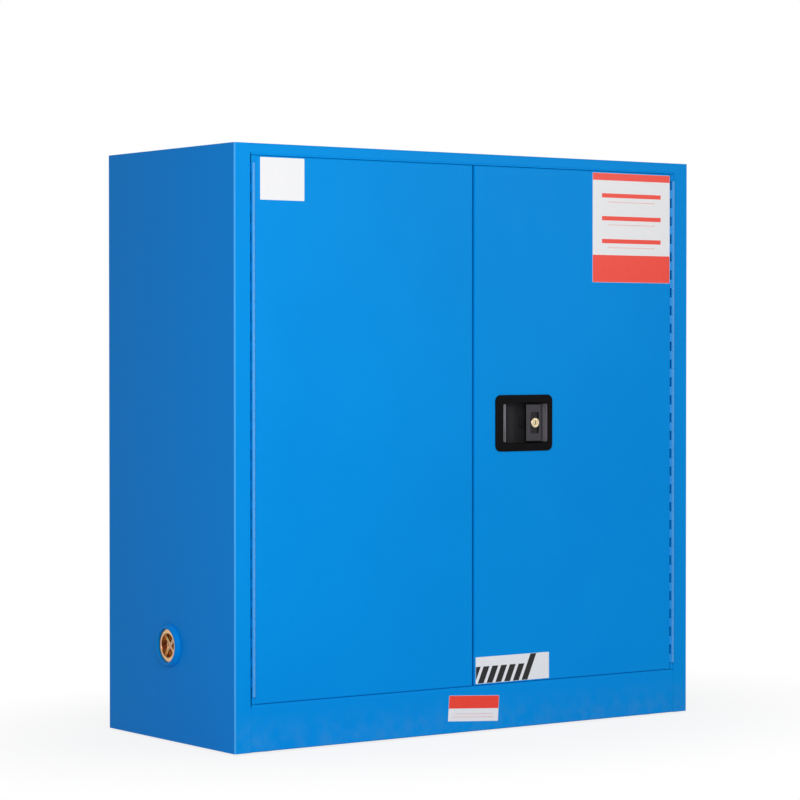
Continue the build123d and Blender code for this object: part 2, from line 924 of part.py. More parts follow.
with BuildPart() as latch_dish:
    with BuildSketch(latch_plane):
        RectangleRounded(flange_width, flange_height, flange_corner)
    extrude(amount=flange_thickness)
    fillet(latch_dish.faces().sort_by(Axis.Y)[0].edges(), radius=flange_edge)
    with BuildSketch(latch_plane):
        with Locations((dish_shift, 0)):
            RectangleRounded(
                dish_width + 2 * dish_wall,
                dish_height + 2 * dish_wall,
                dish_corner + dish_wall,
            )
    extrude(amount=-chassis_front, taper=dish_draft)
    with BuildSketch(latch_plane):
        with Locations(*stud_places):
            Circle(stud_radius)
    extrude(amount=-stud_length)
    add(dish_space.part, mode=Mode.SUBTRACT)
    add(finger_ramp.part)
    with BuildSketch(latch_plan(-hook_height / 2)):
        with BuildLine():
            Polyline(
                (hook_left, hook_front),
                (hook_left + hook_post + hook_lip, hook_front),
                (hook_left + hook_post + hook_lip, hook_front + hook_thickness),
                (hook_left + hook_post - fit, hook_front + hook_thickness),
                (hook_left + hook_post - fit, dish_depth),
                (hook_left, dish_depth),
                close=True,
            )
        make_face()
    extrude(amount=hook_height)
    with Locations((latch_x + lever_pivot, front + pivot_depth, latch_height)):
        Cylinder(lever_pin_radius + running_clearance, dish_height + overrun, mode=Mode.SUBTRACT)
    with Locations((latch_x + lever_pivot, front + dish_depth, latch_height + drive_height)):
        Box(arm_slot_width, 2 * dish_wall + latch_fit, arm_slot_height, mode=Mode.SUBTRACT)

with BuildPart() as latch_nuts:
    with BuildSketch(latch_plane.offset(-sheet)):
        with Locations(*stud_places):
            RegularPolygon(latch_nut_width / 2, 6, major_radius=False)
            Circle(stud_radius + running_clearance, mode=Mode.SUBTRACT)
    extrude(amount=-latch_nut_height)

# Right door: the same two pans, opened for the latch, the rods and the centre bolt
top_slot_place = (top_rod_x, rod_y, door_top)
bottom_slot_place = (bottom_rod_x, rod_y, door_bottom)
rod_slot = (rod_slot_width, rod_slot_depth, overrun)

with BuildPart() as right_door_skin:
    add(door_skin(RIGHT))
    with BuildSketch(latch_plane):
        with Locations((dish_shift, 0)):
            RectangleRounded(
                dish_width + 2 * (dish_wall + latch_fit),
                dish_height + 2 * (dish_wall + latch_fit),
                dish_corner + dish_wall + latch_fit,
            )
        with Locations(*stud_places):
            Circle(stud_radius + fit)
    extrude(amount=-2 * sheet, mode=Mode.SUBTRACT)
    with Locations(bolt_place):
        Box(*bolt_slot, mode=Mode.SUBTRACT)
    with Locations(top_slot_place, bottom_slot_place):
        Box(*rod_slot, mode=Mode.SUBTRACT)

cover_place = (latch_x + cover_shift, door_back, latch_height)
cover_plane = Plane(origin=cover_place, x_dir=(1, 0, 0), z_dir=(0, -1, 0))

with BuildPart() as right_door_panel:
    add(door_inner_panel(RIGHT))
    with BuildSketch(cover_plane):
        RectangleRounded(
            cover_width - 2 * cover_overlap,
            cover_height - 2 * cover_overlap,
            cover_corner,
        )
    extrude(amount=2 * sheet, mode=Mode.SUBTRACT)
    with Locations(bolt_place):
        Box(*bolt_slot, mode=Mode.SUBTRACT)
    with Locations(top_slot_place, bottom_slot_place):
        Box(*rod_slot, mode=Mode.SUBTRACT)

# Cover over the latch works, screwed to the inner panel
with BuildPart() as latch_cover:
    with BuildSketch(cover_plane):
        RectangleRounded(cover_width, cover_height, cover_corner)
    extrude(amount=-sheet)

# Latch lever: bevelled pull plate, hinge barrel, lock boss and ball-ended drive arm
lock_place = (latch_x + lock_x, front, latch_height)
lock_plane = Plane(origin=lock_place, x_dir=(1, 0, 0), z_dir=(0, -1, 0))
lever_back = lever_face + lever_thickness
arm_start = Vector(latch_x + lever_pivot, front + pivot_depth, latch_height + drive_height)
arm_way = Vector(sin(radians(half_swing)), cos(radians(half_swing)), 0)
ball_centre = arm_start + arm_way * arm_length

with BuildPart() as latch_lever:
    with BuildSketch(latch_plan(-lever_height / 2)):
        with Locations(((lever_left + lever_pivot) / 2, (lever_face + lever_back) / 2)):
            Rectangle(lever_pivot - lever_left, lever_thickness)
        with Locations((lever_pivot, pivot_depth)):
            Circle(lever_barrel)
    extrude(amount=lever_height)
    nose_edges = latch_lever.edges().filter_by(Axis.Z).group_by(Axis.X)[0]
    fillet(nose_edges, radius=lever_nose)
    front_face = latch_lever.faces().filter_by(Axis.Y).sort_by(Axis.Y)[0]
    chamfer(front_face.edges().filter_by(Axis.X), length=lever_bevel)
    with BuildSketch(lock_plane.offset(-lever_back)):
        Circle(lock_radius + lock_boss_wall)
    extrude(amount=-lock_boss_depth)
    with BuildSketch(lock_plane.offset(-lever_face)):
        RectangleRounded(recess_width, recess_height, recess_corner)
    extrude(amount=-recess_depth, mode=Mode.SUBTRACT)
    with BuildSketch(lock_plane):
        Circle(lock_radius + running_clearance)
    extrude(amount=-dish_depth, mode=Mode.SUBTRACT)
    with BuildSketch(Plane(origin=arm_start, z_dir=arm_way)):
        Circle(arm_radius)
    extrude(amount=arm_length)
    with Locations(ball_centre):
        Sphere(ball_radius)
    with Locations((latch_x + lever_pivot, front + pivot_depth, latch_height)):
        Cylinder(lever_pin_radius + running_clearance, lever_height + overrun, mode=Mode.SUBTRACT)

with BuildPart() as lever_pin:
    with Locations((latch_x + lever_pivot, front + pivot_depth, latch_height)):
        Cylinder(lever_pin_radius, dish_height + 2 * (dish_wall + pin_tail))

# Key lock: a barrel pressed into the lever, a turning plug and the cam on its tail
with BuildPart() as lock_barrel:
    with BuildSketch(lock_plane.offset(-lock_front)):
        Circle(lock_radius)
        Circle(plug_radius + running_clearance, mode=Mode.SUBTRACT)
    extrude(amount=-lock_rear + lock_front)
    front_rings = lock_barrel.edges().filter_by(GeomType.CIRCLE).group_by(Axis.Y)[0]
    chamfer(front_rings.sort_by(SortBy.RADIUS)[-1], length=lock_rim)

cam_front = lock_rear + cam_gap
cam_back = cam_front + cam_thickness

with BuildPart() as key_plug:
    with BuildSketch(lock_plane.offset(-lock_front + plug_proud)):
        Circle(plug_radius)
    extrude(amount=-lock_rear + lock_front - plug_proud)
    with BuildSketch(lock_plane.offset(-lock_rear)):
        Circle(plug_tail_radius)
    extrude(amount=-cam_back + lock_rear)
    with BuildSketch(lock_plane.offset(-lock_front + plug_proud)):
        Rectangle(keyway_width, keyway_height)
    extrude(amount=-keyway_depth, mode=Mode.SUBTRACT)

with BuildPart() as lock_cam:
    with BuildSketch(lock_plane.offset(-cam_front)):
        Circle(cam_width / 2)
        Rectangle(cam_width, cam_length - cam_width / 2, align=(Align.CENTER, Align.MIN))
        with Locations((0, cam_length - cam_width / 2)):
            Circle(cam_width / 2)
        Circle(plug_tail_radius + running_clearance, mode=Mode.SUBTRACT)
    extrude(amount=-cam_thickness)

# Chassis behind the dish: carries the rotor on a stud with a retaining clip
with BuildPart() as latch_chassis:
    with BuildSketch(latch_plane.offset(-chassis_front)):
        with Locations(((chassis_right - chassis_left) / 2, 0)):
            Rectangle(chassis_right + chassis_left, 2 * chassis_half)
        with Locations((lever_pivot, drive_height)):
            Rectangle(arm_slot_width, arm_slot_height, mode=Mode.SUBTRACT)
    extrude(amount=-chassis_thickness)
    with BuildSketch(latch_plane.offset(-chassis_back)):
        with Locations((lever_pivot, 0)):
            Circle(rotor_stud_radius)
    extrude(amount=-rotor_back + chassis_back - rotor_gap)
    with BuildSketch(latch_plane.offset(-rotor_back - rotor_gap)):
        with Locations((lever_pivot, 0)):
            Circle(rotor_clip_radius)
    extrude(amount=-rotor_clip_thickness)


def rotor_place(radius, angle):
    """A place on the rotor at rest, which stands half its turn clockwise of its middle position."""
    turned = radians(angle - half_turn)
    return (lever_pivot + radius * cos(turned), radius * sin(turned))


slot_reach = rotor_radius + overrun - rotor_slot_root

with BuildPart() as latch_rotor:
    with BuildSketch(latch_plane.offset(-rotor_front)):
        with Locations((lever_pivot, 0)):
            Circle(rotor_radius)
            Circle(rotor_stud_radius + running_clearance, mode=Mode.SUBTRACT)
        with Locations(rotor_place(rotor_slot_root + slot_reach / 2, 90)):
            Rectangle(2 * (ball_radius + drive_play), slot_reach, rotation=-half_turn, mode=Mode.SUBTRACT)
    extrude(amount=-rotor_thickness)
    with BuildSketch(latch_plane.offset(-rotor_back)):
        with Locations(
            rotor_place(rod_throw_radius, 180),
            rotor_place(rod_throw_radius, 0),
            rotor_place(bolt_throw_radius, 270),
        ):
            Circle(throw_pin_radius)
    extrude(amount=-rod_back + rotor_back - throw_pin_tail)

# Locking rods and centre bolt, at rest pushed out into their strikes
rod_slot_gap = 2 * (throw_pin_radius + rod_play)
top_pin_z = latch_height + rod_lift
bottom_pin_z = latch_height - rod_lift
bolt_pin_x = rotor_x - bolt_shift
top_rod_foot = top_pin_z - rod_foot
top_rod_tip = head_z + rod_reach
bottom_rod_foot = bottom_pin_z + rod_foot
bottom_rod_tip = sill_height - rod_reach
bolt_tip = -bolt_reach
bolt_end = bolt_pin_x + bolt_heel
rod_sheet = Plane(origin=(0, front + rod_front, 0), x_dir=(1, 0, 0), z_dir=(0, -1, 0))
spring_x = top_rod_x + rod_width / 2 + spring_side_gap + spring_radius + spring_wire
spring_bottom = latch_height + spring_base
spring_length = spring_turns * spring_pitch + 2 * spring_wire
spring_tab_z = spring_bottom + spring_length + 2 * spring_end_gap
spring_tab_end = spring_x + spring_radius + spring_wire
spring_seat_width = 2 * (spring_radius + spring_wire + spring_seat_margin)

with BuildPart() as top_rod:
    with BuildSketch(rod_sheet):
        with Locations((top_rod_x, (top_rod_foot + top_rod_tip) / 2)):
            Rectangle(rod_width, top_rod_tip - top_rod_foot)
        with Locations((top_rod_x, spring_tab_z)):
            Rectangle(spring_tab_end - top_rod_x, spring_tab_height, align=(Align.MIN, Align.MIN))
        with Locations((top_rod_x, top_pin_z)):
            Rectangle(rod_slot_run, rod_slot_gap, mode=Mode.SUBTRACT)
    extrude(amount=-rod_thickness)
    chamfer(top_rod.faces().sort_by(Axis.Z)[-1].edges().filter_by(Axis.Y), length=rod_nose)
    with Locations((spring_x, rod_y, spring_tab_z)):
        Cylinder(
            min(spring_peg_radius, rod_thickness / 2),
            spring_peg_length,
            align=(Align.CENTER, Align.CENTER, Align.MAX),
        )

with BuildPart() as bottom_rod:
    with BuildSketch(rod_sheet):
        with Locations((bottom_rod_x, (bottom_rod_foot + bottom_rod_tip) / 2)):
            Rectangle(rod_width, bottom_rod_foot - bottom_rod_tip)
        with Locations((bottom_rod_x, bottom_pin_z)):
            Rectangle(rod_slot_run, rod_slot_gap, mode=Mode.SUBTRACT)
    extrude(amount=-rod_thickness)
    chamfer(bottom_rod.faces().sort_by(Axis.Z)[0].edges().filter_by(Axis.Y), length=rod_nose)

with BuildPart() as centre_bolt:
    with BuildSketch(rod_sheet):
        with Locations(((bolt_tip + bolt_end) / 2, bolt_z)):
            Rectangle(bolt_end - bolt_tip, bolt_height)
        with Locations((bolt_pin_x, bolt_z)):
            Rectangle(rod_slot_gap, rod_slot_run, mode=Mode.SUBTRACT)
    extrude(amount=-rod_thickness)
    chamfer(centre_bolt.faces().sort_by(Axis.X)[0].edges().filter_by(Axis.Y), length=rod_nose)

# Guides: omega clips on the inner panel that keep the rods and the bolt straight
panel_face = door_thickness - sheet


def guide(plane, bar_width):
    half = bar_width / 2 + rod_play
    cap = rod_front - rod_play
    points = [
        (-half - guide_flange, panel_face),
        (-half, panel_face),
        (-half, cap),
        (half, cap),
        (half, panel_face),
        (half + guide_flange, panel_face),
    ]
    radii = [2 * guide_sheet, guide_sheet / 2, guide_sheet / 2, 2 * guide_sheet]
    return folded_sheet(plane, points, radii, guide_length, thickness=guide_sheet, side=Side.RIGHT)


def upright_guide(x, z):
    return guide(Plane(origin=(x, front, z), x_dir=(1, 0, 0), z_dir=(0, 0, 1)), rod_width)


with BuildPart() as rod_guides:
    add(upright_guide(top_rod_x, latch_height + guide_near))
    add(upright_guide(top_rod_x, door_top - guide_far))
    add(upright_guide(bottom_rod_x, latch_height - guide_near))
    add(upright_guide(bottom_rod_x, door_bottom + guide_far))
    bolt_guide_place = (bolt_guide_x, front, bolt_z)
    add(guide(Plane(origin=bolt_guide_place, x_dir=(0, 0, 1), z_dir=(-1, 0, 0)), bolt_height))
    with Locations((spring_x, front + panel_face, spring_bottom)):
        Box(
            spring_seat_width,
            panel_face - rod_front + spring_radius,
            spring_seat_sheet,
            align=(Align.CENTER, Align.MAX, Align.MAX),
        )
        Box(
            spring_seat_width,
            spring_seat_sheet,
            guide_length,
            align=(Align.CENTER, Align.MAX, Align.MAX),
        )


# Return spring: an open coil between its seat and the top rod's tab
def coil_point(turn):
    angle = 2 * pi * turn
    rise = spring_bottom + spring_end_gap + spring_wire + spring_pitch * turn
    return Vector(spring_x + spring_radius * cos(angle), rod_y + spring_radius * sin(angle), rise)


def coil_way(turn):
    angle = 2 * pi * turn
    lead = spring_pitch / (2 * pi)
    return Vector(-spring_radius * sin(angle), spring_radius * cos(angle), lead).normalized()


with BuildPart() as rod_spring:
    with BuildLine() as coil_line:
        for quarter in range(4 * spring_turns):
            start, end = coil_point(quarter / 4), coil_point((quarter + 1) / 4)
            way_in, way_out = coil_way(quarter / 4), coil_way((quarter + 1) / 4)
            span, ways = end - start, way_in + way_out
            spread = 1 - way_in.dot(way_out)
            along = span.dot(ways)
            reach = (sqrt(along**2 + 2 * spread * span.dot(span)) - along) / (2 * spread)
            turn_in, turn_out = start + way_in * reach, end - way_out * reach
            middle = (turn_in + turn_out) * 0.5
            TangentArc(start, middle, tangent=way_in)
            TangentArc(middle, end, tangent=turn_out - turn_in)
    with BuildSketch(Plane(origin=coil_point(0), z_dir=coil_way(0))):
        Circle(spring_wire)
    sweep(path=coil_line.line)
print("rod spring, gap between turns", spring_pitch - 2 * spring_wire)


# Strikes: slotted plates that back the soffit and the sill ledge
def strike(x, z):
    with BuildPart() as plate:
        with BuildSketch(Plane.XY.offset(z)):
            with Locations((x, rod_y)):
                Rectangle(strike_width, strike_depth)
                Rectangle(rod_slot_width, rod_slot_depth, mode=Mode.SUBTRACT)
        extrude(amount=strike_thickness)
    return plate


head_strike = strike(top_rod_x, head_z + sheet)
sill_strike = strike(bottom_rod_x, sill_height - sheet - strike_thickness)

pieces = {
    "left_side_panel": left_side_panel,
    "right_side_panel": right_side_panel,
    "top_panel": top_panel,
    "back_panel": back_panel,
    "sill_panel": sill_panel,
    "bottom_panel": bottom_panel,
    "left_liner": left_liner,
    "right_liner": right_liner,
    "back_liner": back_liner,
    "ceiling_liner": ceiling_liner,
    "sump_tray": sump_tray,
    "wall_spacers": wall_spacers,
    "shelf_standards": shelf_standards,
    "shelf_clips": shelf_clips,
    "shelf": shelf,
    "left_vent_collar": left_vent_collar,
    "right_vent_collar": right_vent_collar,
    "left_vent_plug": left_vent_plug,
    "right_vent_plug": right_vent_plug,
    "left_vent_gasket": left_vent_gasket,
    "right_vent_gasket": right_vent_gasket,
    "left_flame_arrestor": left_flame_arrestor,
    "right_flame_arrestor": right_flame_arrestor,
    "front_left_foot": front_left_foot,
    "front_right_foot": front_right_foot,
    "back_left_foot": back_left_foot,
    "back_right_foot": back_right_foot,
    "foot_nuts": foot_nuts,
    "ground_stud": ground_stud,
    "ground_nut": ground_nut,
    "left_hinge_frame_leaf": left_hinge_frame_leaf,
    "left_hinge_door_leaf": left_hinge_door_leaf,
    "left_hinge_pin": left_hinge_pin,
    "right_hinge_frame_leaf": right_hinge_frame_leaf,
    "right_hinge_door_leaf": right_hinge_door_leaf,
    "right_hinge_pin": right_hinge_pin,
    "left_door_skin": left_door_skin,
    "left_door_panel": left_door_panel,
    "bolt_keeper": bolt_keeper,
    "meeting_seal": meeting_seal,
    "right_door_skin": right_door_skin,
    "right_door_panel": right_door_panel,
    "latch_cover": latch_cover,
    "latch_dish": latch_dish,
    "latch_nuts": latch_nuts,
    "latch_lever": latch_lever,
    "lever_pin": lever_pin,
    "lock_barrel": lock_barrel,
    "key_plug": key_plug,
    "lock_cam": lock_cam,
    "latch_chassis": latch_chassis,
    "latch_rotor": latch_rotor,
    "top_rod": top_rod,
    "bottom_rod": bottom_rod,
    "centre_bolt": centre_bolt,
    "rod_guides": rod_guides,
    "rod_spring": rod_spring,
    "head_strike": head_strike,
    "sill_strike": sill_strike,
}
for label, piece in pieces.items():
    piece.part.label = label
    export_step(piece.part, f"parts/{label}.step")
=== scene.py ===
from math import cos, pi, radians, sin

import bmesh
import bpy
from mathutils import Matrix, Vector


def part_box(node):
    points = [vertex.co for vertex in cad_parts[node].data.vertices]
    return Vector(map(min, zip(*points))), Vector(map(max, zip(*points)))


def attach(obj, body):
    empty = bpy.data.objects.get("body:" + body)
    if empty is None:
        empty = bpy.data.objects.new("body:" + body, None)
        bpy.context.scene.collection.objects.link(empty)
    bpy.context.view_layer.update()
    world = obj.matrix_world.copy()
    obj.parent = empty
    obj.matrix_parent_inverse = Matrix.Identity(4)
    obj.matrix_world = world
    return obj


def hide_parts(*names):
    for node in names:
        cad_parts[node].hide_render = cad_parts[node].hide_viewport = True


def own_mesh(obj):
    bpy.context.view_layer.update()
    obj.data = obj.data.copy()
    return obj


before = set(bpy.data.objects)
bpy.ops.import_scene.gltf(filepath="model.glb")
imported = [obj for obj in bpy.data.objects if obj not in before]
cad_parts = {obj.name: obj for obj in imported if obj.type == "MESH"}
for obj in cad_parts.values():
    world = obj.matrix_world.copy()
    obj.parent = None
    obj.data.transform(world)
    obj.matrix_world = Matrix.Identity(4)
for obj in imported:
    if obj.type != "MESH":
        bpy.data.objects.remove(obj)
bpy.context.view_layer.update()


# The viewpoint: a long lens at the height of the cabinet's upper half, in front of its left end,
# turned towards the middle of the front. Placed from the corners of the cabinet in the picture.
camera_place, camera_sight = (-3.340, -4.659, 0.746), 100.0
camera_yaw, camera_pitch, level_pitch = 35.553, -1.042, 90.0
picture_width, focal_pixels, sensor_width = 800, 2873.5, 36.0

lens = bpy.data.cameras.new("viewpoint")
lens.sensor_width = sensor_width
lens.lens = focal_pixels / picture_width * sensor_width
lens.clip_end = camera_sight
viewpoint = bpy.data.objects.new("viewpoint", lens)
viewpoint.location = camera_place
viewpoint.rotation_euler = (radians(level_pitch + camera_pitch), 0.0, radians(-camera_yaw))
bpy.context.scene.collection.objects.link(viewpoint)
bpy.context.scene.camera = viewpoint


# Shell: two sides with their posts, the roof with its head rail, the back, the bottom and the plinth.
# Each is one folded steel sheet, spot welded round the back and powder coated in satin blue: fine orange
# peel, a painted highlight in pale blue along the front folds, painted shade in a darker blue on the side
# faces, a faint seam beside the plinth and floor dust along the foot.
class Socket:
    """An output of a finish's nodes. Sums and products of it add Math nodes."""

    def __init__(self, finish, output):
        self.finish, self.output = finish, output

    def sum_of(self, operation, first, second):
        return self.finish.node("ShaderNodeMath", {"operation": operation}, {0: first, 1: second})

    def __add__(self, other):
        return self.sum_of("ADD", self, other)

    def __sub__(self, other):
        return self.sum_of("SUBTRACT", self, other)

    def __rsub__(self, other):
        return self.sum_of("SUBTRACT", other, self)

    def __mul__(self, other):
        return self.sum_of("MULTIPLY", self, other)

    __radd__, __rmul__ = __add__, __mul__

    def through(self, operation, other=0.0):
        return self.sum_of(operation, self, other)

    def ease(self, low, high):
        """0 below low, 1 above high and smooth between; low may be the larger."""
        return self.finish.node(
            "ShaderNodeMapRange",
            {"interpolation_type": "SMOOTHSTEP"},
            {"Value": self, "From Min": low, "From Max": high},
        )


class Finish:
    """A procedural material. Numbers that hold all over go straight to the shader's own sockets."""

    def __init__(self, name, **shader):
        self.material = bpy.data.materials.new(name)
        self.material.use_nodes = True
        self.shader = self.material.node_tree.nodes["Principled BSDF"]
        for socket, value in shader.items():
            self.feed(socket.replace("_", " "), value)
        self.place = self.node("ShaderNodeTexCoord", out="Object")

    def feed(self, socket, value, node=None):
        entry = (node or self.shader).inputs[socket]
        if isinstance(value, Socket):
            self.material.node_tree.links.new(value.output, entry)
        else:
            entry.default_value = value

    def node(self, kind, settings=None, sockets=None, out=0):
        node = self.material.node_tree.nodes.new(kind)
        for name, value in (settings or {}).items():
            if name == "stops":
                ends = node.color_ramp.elements
                ends[0].position, ends[0].color = value[0]
                ends[1].position, ends[1].color = value[-1]
                for place, colour in value[1:-1]:
                    ends.new(place).color = colour
            else:
                setattr(node, name, value)
        for name, value in (sockets or {}).items():
            self.feed(name, value, node)
        return Socket(self, node.outputs[out])

    def noise(self, size, detail=2.0, stretch=None):
        """Noise with lumps about this many metres across, drawn out along an axis where asked."""
        place = self.place
        if stretch:
            place = self.node("ShaderNodeMapping", {}, {"Vector": place, "Scale": stretch})
        return self.node("ShaderNodeTexNoise", {}, {"Vector": place, "Scale": 1.0 / size, "Detail": detail})

    def axis(self, name):
        return self.node("ShaderNodeSeparateXYZ", {}, {"Vector": self.place}, name)

    def blend(self, share, first, second):
        return self.node("ShaderNodeMix", {"data_type": "RGBA"}, {0: share, 6: first, 7: second}, out=2)

    def bump(self, height, depth, strength=1.0):
        self.feed(
            "Normal",
            self.node("ShaderNodeBump", {}, {"Strength": strength, "Distance": depth, "Height": height}),
        )

    def cover(self, *names):
        """Puts the finish on solids of the frame."""
        for name in names:
            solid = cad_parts[name]
            solid.data.materials.clear()
            solid.data.materials.append(self.material)


coat_blue, coat_deep = (0.0008, 0.262, 0.700, 1.0), (0.0004, 0.232, 0.655, 1.0)
coat_dust, fold_highlight_pale = (0.070, 0.270, 0.560, 1.0), (0.16, 0.50, 0.92, 1.0)
side_shade_blue, weld_blue = (0.0002, 0.212, 0.672, 1.0), (0.0003, 0.150, 0.440, 1.0)
coat_gloss, coat_gloss_tint = 0.055, (0.45, 0.72, 1.0, 1.0)
cloud_size, cloud_share, fleck_size, fleck_share = 0.35, 0.75, 0.0011, 0.5
tone_shift, tone_low, tone_high = 0.12, 0.15, 0.85
dust_size, dust_thin, dust_thick, dust_share = 0.02, 0.30, 0.75, 0.28
wipe_size, wipe_run, coat_rough, peel_rough = 0.05, (1.0, 1.0, 0.12), 0.40, 0.05
peel_size, peel_fleck, peel_depth, peel_strength = 0.0032, 0.25, 0.00022, 0.55


def powder_coat(name, dusty_to=0.0, wiped=0.06):
    """Baked blue powder: cloudy tone, fine flecks, orange peel, wipe marks and dust near the floor."""
    coat = Finish(name, Specular_IOR_Level=coat_gloss, Specular_Tint=coat_gloss_tint)
    cloud = coat.noise(cloud_size, detail=3.0)
    fleck = coat.noise(fleck_size, detail=1.0)
    peel = coat.noise(peel_size)
    wipe = coat.noise(wipe_size, detail=4.0, stretch=wipe_run)
    mottle = cloud * cloud_share + fleck * fleck_share - tone_shift
    coat.tone = coat.blend(mottle.ease(tone_low, tone_high), coat_deep, coat_blue)
    if dusty_to:
        settled = coat.axis("Z").ease(dusty_to, 0.0)
        settled = settled * coat.noise(dust_size, detail=5.0).ease(dust_thin, dust_thick)
        coat.tone = coat.blend(settled * dust_share, coat.tone, coat_dust)
    coat.feed("Base Color", coat.tone)
    coat.feed("Roughness", coat_rough + (wipe - 0.5) * wiped + (peel - 0.5) * peel_rough)
    coat.bump(peel + fleck * peel_fleck, peel_depth, peel_strength)
    return coat


corner_x, corner_y, fold_flat, fold_crown, fold_highlight_share = 0.545, -0.230, 0.0030, 0.0019, 0.42
side_begins, side_full, side_shade_share = 0.5440, 0.5449, 0.9
seam_line, seam_half, seam_top, seam_front, seam_share = 0.5088, 0.0008, 0.0880, -0.2290, 0.5
weld_count, weld_line, weld_row, weld_middle = 6, 0.531, 0.544, 0.562
dent_reach, dent_flat, dent_share, dent_press = 0.0048, 0.00288, 0.75, 2.0
back_begins, back_face, shell_peel, shell_depth, shell_strength = 0.2289, 0.2292, 0.2, 0.0006, 0.6

shell_coat = powder_coat("shell_blue_powder", dusty_to=0.09)
half_across = shell_coat.axis("X").through("ABSOLUTE")
# Painted shade: the side faces are painted a darker blue.
painted_side_shade = half_across.ease(side_begins, side_full)
coated = shell_coat.blend(painted_side_shade * side_shade_share, shell_coat.tone, side_shade_blue)
# Painted highlight: a pale blue line along the front corner folds.
along_fold = (corner_x - half_across) + (shell_coat.axis("Y") - corner_y)
painted_fold_highlight = along_fold.ease(fold_flat, fold_crown)
coated = shell_coat.blend(painted_fold_highlight * fold_highlight_share, coated, fold_highlight_pale)

seam = (half_across - seam_line).through("ABSOLUTE").ease(seam_half, 0.0)
seam = seam * shell_coat.axis("Z").ease(seam_top, seam_top - seam_half)
seam = seam * shell_coat.axis("Y").ease(seam_front, seam_front - seam_half)
coated = shell_coat.blend(seam * seam_share, coated, weld_blue)

half_up = (shell_coat.axis("Z") - weld_middle).through("ABSOLUTE")
spots = []
for along, corner, off_line in (
    (half_up, weld_row, half_across - weld_line), (half_across, weld_line, half_up - weld_row),
):
    beat = along.through("PINGPONG", corner / weld_count / 2)
    spots.append((beat * beat + off_line * off_line).through("SQRT"))
spot = spots[0].through("MINIMUM", spots[1]).ease(dent_reach, dent_flat)
spot = spot * shell_coat.axis("Y").ease(back_begins, back_face)
shell_coat.feed("Base Color", shell_coat.blend(spot * dent_share, coated, weld_blue))
shell_coat.bump(shell_coat.noise(peel_size) * shell_peel - spot * dent_press, shell_depth, shell_strength)
shell_coat.cover(
    "left_side_panel", "right_side_panel", "top_panel", "back_panel", "sill_panel", "bottom_panel",
    "left_vent_collar", "right_vent_collar", "wall_spacers",
)


# Frame welds: where the head rail and the plinth butt against the posts, the groove beside the post's
# fold is filled with weld, ground flush and coated over.
weld_front, weld_depth, fold_radius, fold_steps = -0.230, 0.0030, 0.0030, 6
post_edge, rail_end, weld_levels = 0.509, 0.5087, ((0.0072, 0.0869), (1.1031, 1.1168))


def loose_mesh(name, material):
    """A new object at the origin, with an empty mesh to fill."""
    piece = bpy.data.objects.new(name, bpy.data.meshes.new(name))
    piece.data.materials.append(material)
    bpy.context.scene.collection.objects.link(piece)
    return piece


def prism(shape, foot, top):
    """Closes an outline, given at its foot, up to the same outline at its top."""
    low = [shape.verts.new(point) for point in foot]
    high = [shape.verts.new(point) for point in top]
    faces = [shape.faces.new(list(reversed(low))), shape.faces.new(high)]
    for number in range(len(low)):
        after = (number + 1) % len(low)
        faces.append(shape.faces.new((low[number], low[after], high[after], high[number])))
    return faces


def upright(shape, outline, low, high):
    """A prism over an outline in plan, from one height to another."""
    prism(shape, [(x, y, low) for x, y in outline], [(x, y, high) for x, y in outline])


def set_mesh(piece, shape):
    """Turns all faces outwards and gives the mesh to its piece."""
    bmesh.ops.recalc_face_normals(shape, faces=shape.faces)
    shape.to_mesh(piece.data)
    shape.free()


frame_welds = loose_mesh("frame_welds", shell_coat.material)
weld_shape = bmesh.new()
for side in (-1, 1):
    groove = []
    for step in range(fold_steps + 1):
        turn = pi / 2 * step / fold_steps
        groove.append((
            side * (post_edge + fold_radius - fold_radius * sin(turn)),
            weld_front + fold_radius - fold_radius * cos(turn),
        ))
    groove += [(side * rail_end, weld_front + weld_depth), (side * rail_end, weld_front)]
    for low, high in weld_levels:
        upright(weld_shape, groove, low, high)
set_mesh(frame_welds, weld_shape)
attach(frame_welds, "carcass")


# Reveal beads: a flat coated steel bead, welded under the head rail, and another on the plinth's ledge,
# both a millimetre behind the face. They close most of the gap over and under the doors, which swing clear.
bead_reach, bead_front, bead_back, bead_break = 0.5075, -0.2290, -0.2180, 0.0004
head_ledge, sill_ledge, bead_height, bead_root = 1.1000, 0.0900, 0.0015, 0.0010

reveal_beads = loose_mesh("reveal_beads", shell_coat.material)
bead_shape = bmesh.new()
for ledge, way in ((head_ledge, -1), (sill_ledge, 1)):
    root, crest = ledge - way * bead_root, ledge + way * bead_height
    outline = [
        (bead_front, root), (bead_back, ledge), (bead_back, crest),
        (bead_front + bead_break, crest), (bead_front, crest - way * bead_break),
    ]
    prism(bead_shape, [(-bead_reach, y, z) for y, z in outline], [(bead_reach, y, z) for y, z in outline])
set_mesh(reveal_beads, bead_shape)
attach(reveal_beads, "carcass")


# Liner, sump tray, shelf and its standards: pressed from thinner sheet and coated in the same blue powder
# before they go in. The doors keep them clean of floor dust and wiping.
liner_coat = powder_coat("liner_blue_powder")
liner_coat.cover(
    "left_liner", "right_liner", "back_liner", "ceiling_liner", "sump_tray", "shelf", "shelf_standards",
)


# Plated steel: hinge pins, the latch works in the right door, strikes, shelf clips and nuts.
# Bright zinc over drawn or pressed steel, with a faint spangle and fine drawing lines.
zinc_light, zinc_dark = (0.70, 0.70, 0.72, 1.0), (0.52, 0.53, 0.56, 1.0)
spangle_scale, spangle_share, grain_share = 260.0, 0.6, 0.4
grain_size, grain_run, grain_depth, grain_strength = 0.0016, (1.0, 1.0, 0.15), 0.00008, 0.4
zinc_rough, grain_rough, spangle_rough = 0.26, 0.12, 0.06


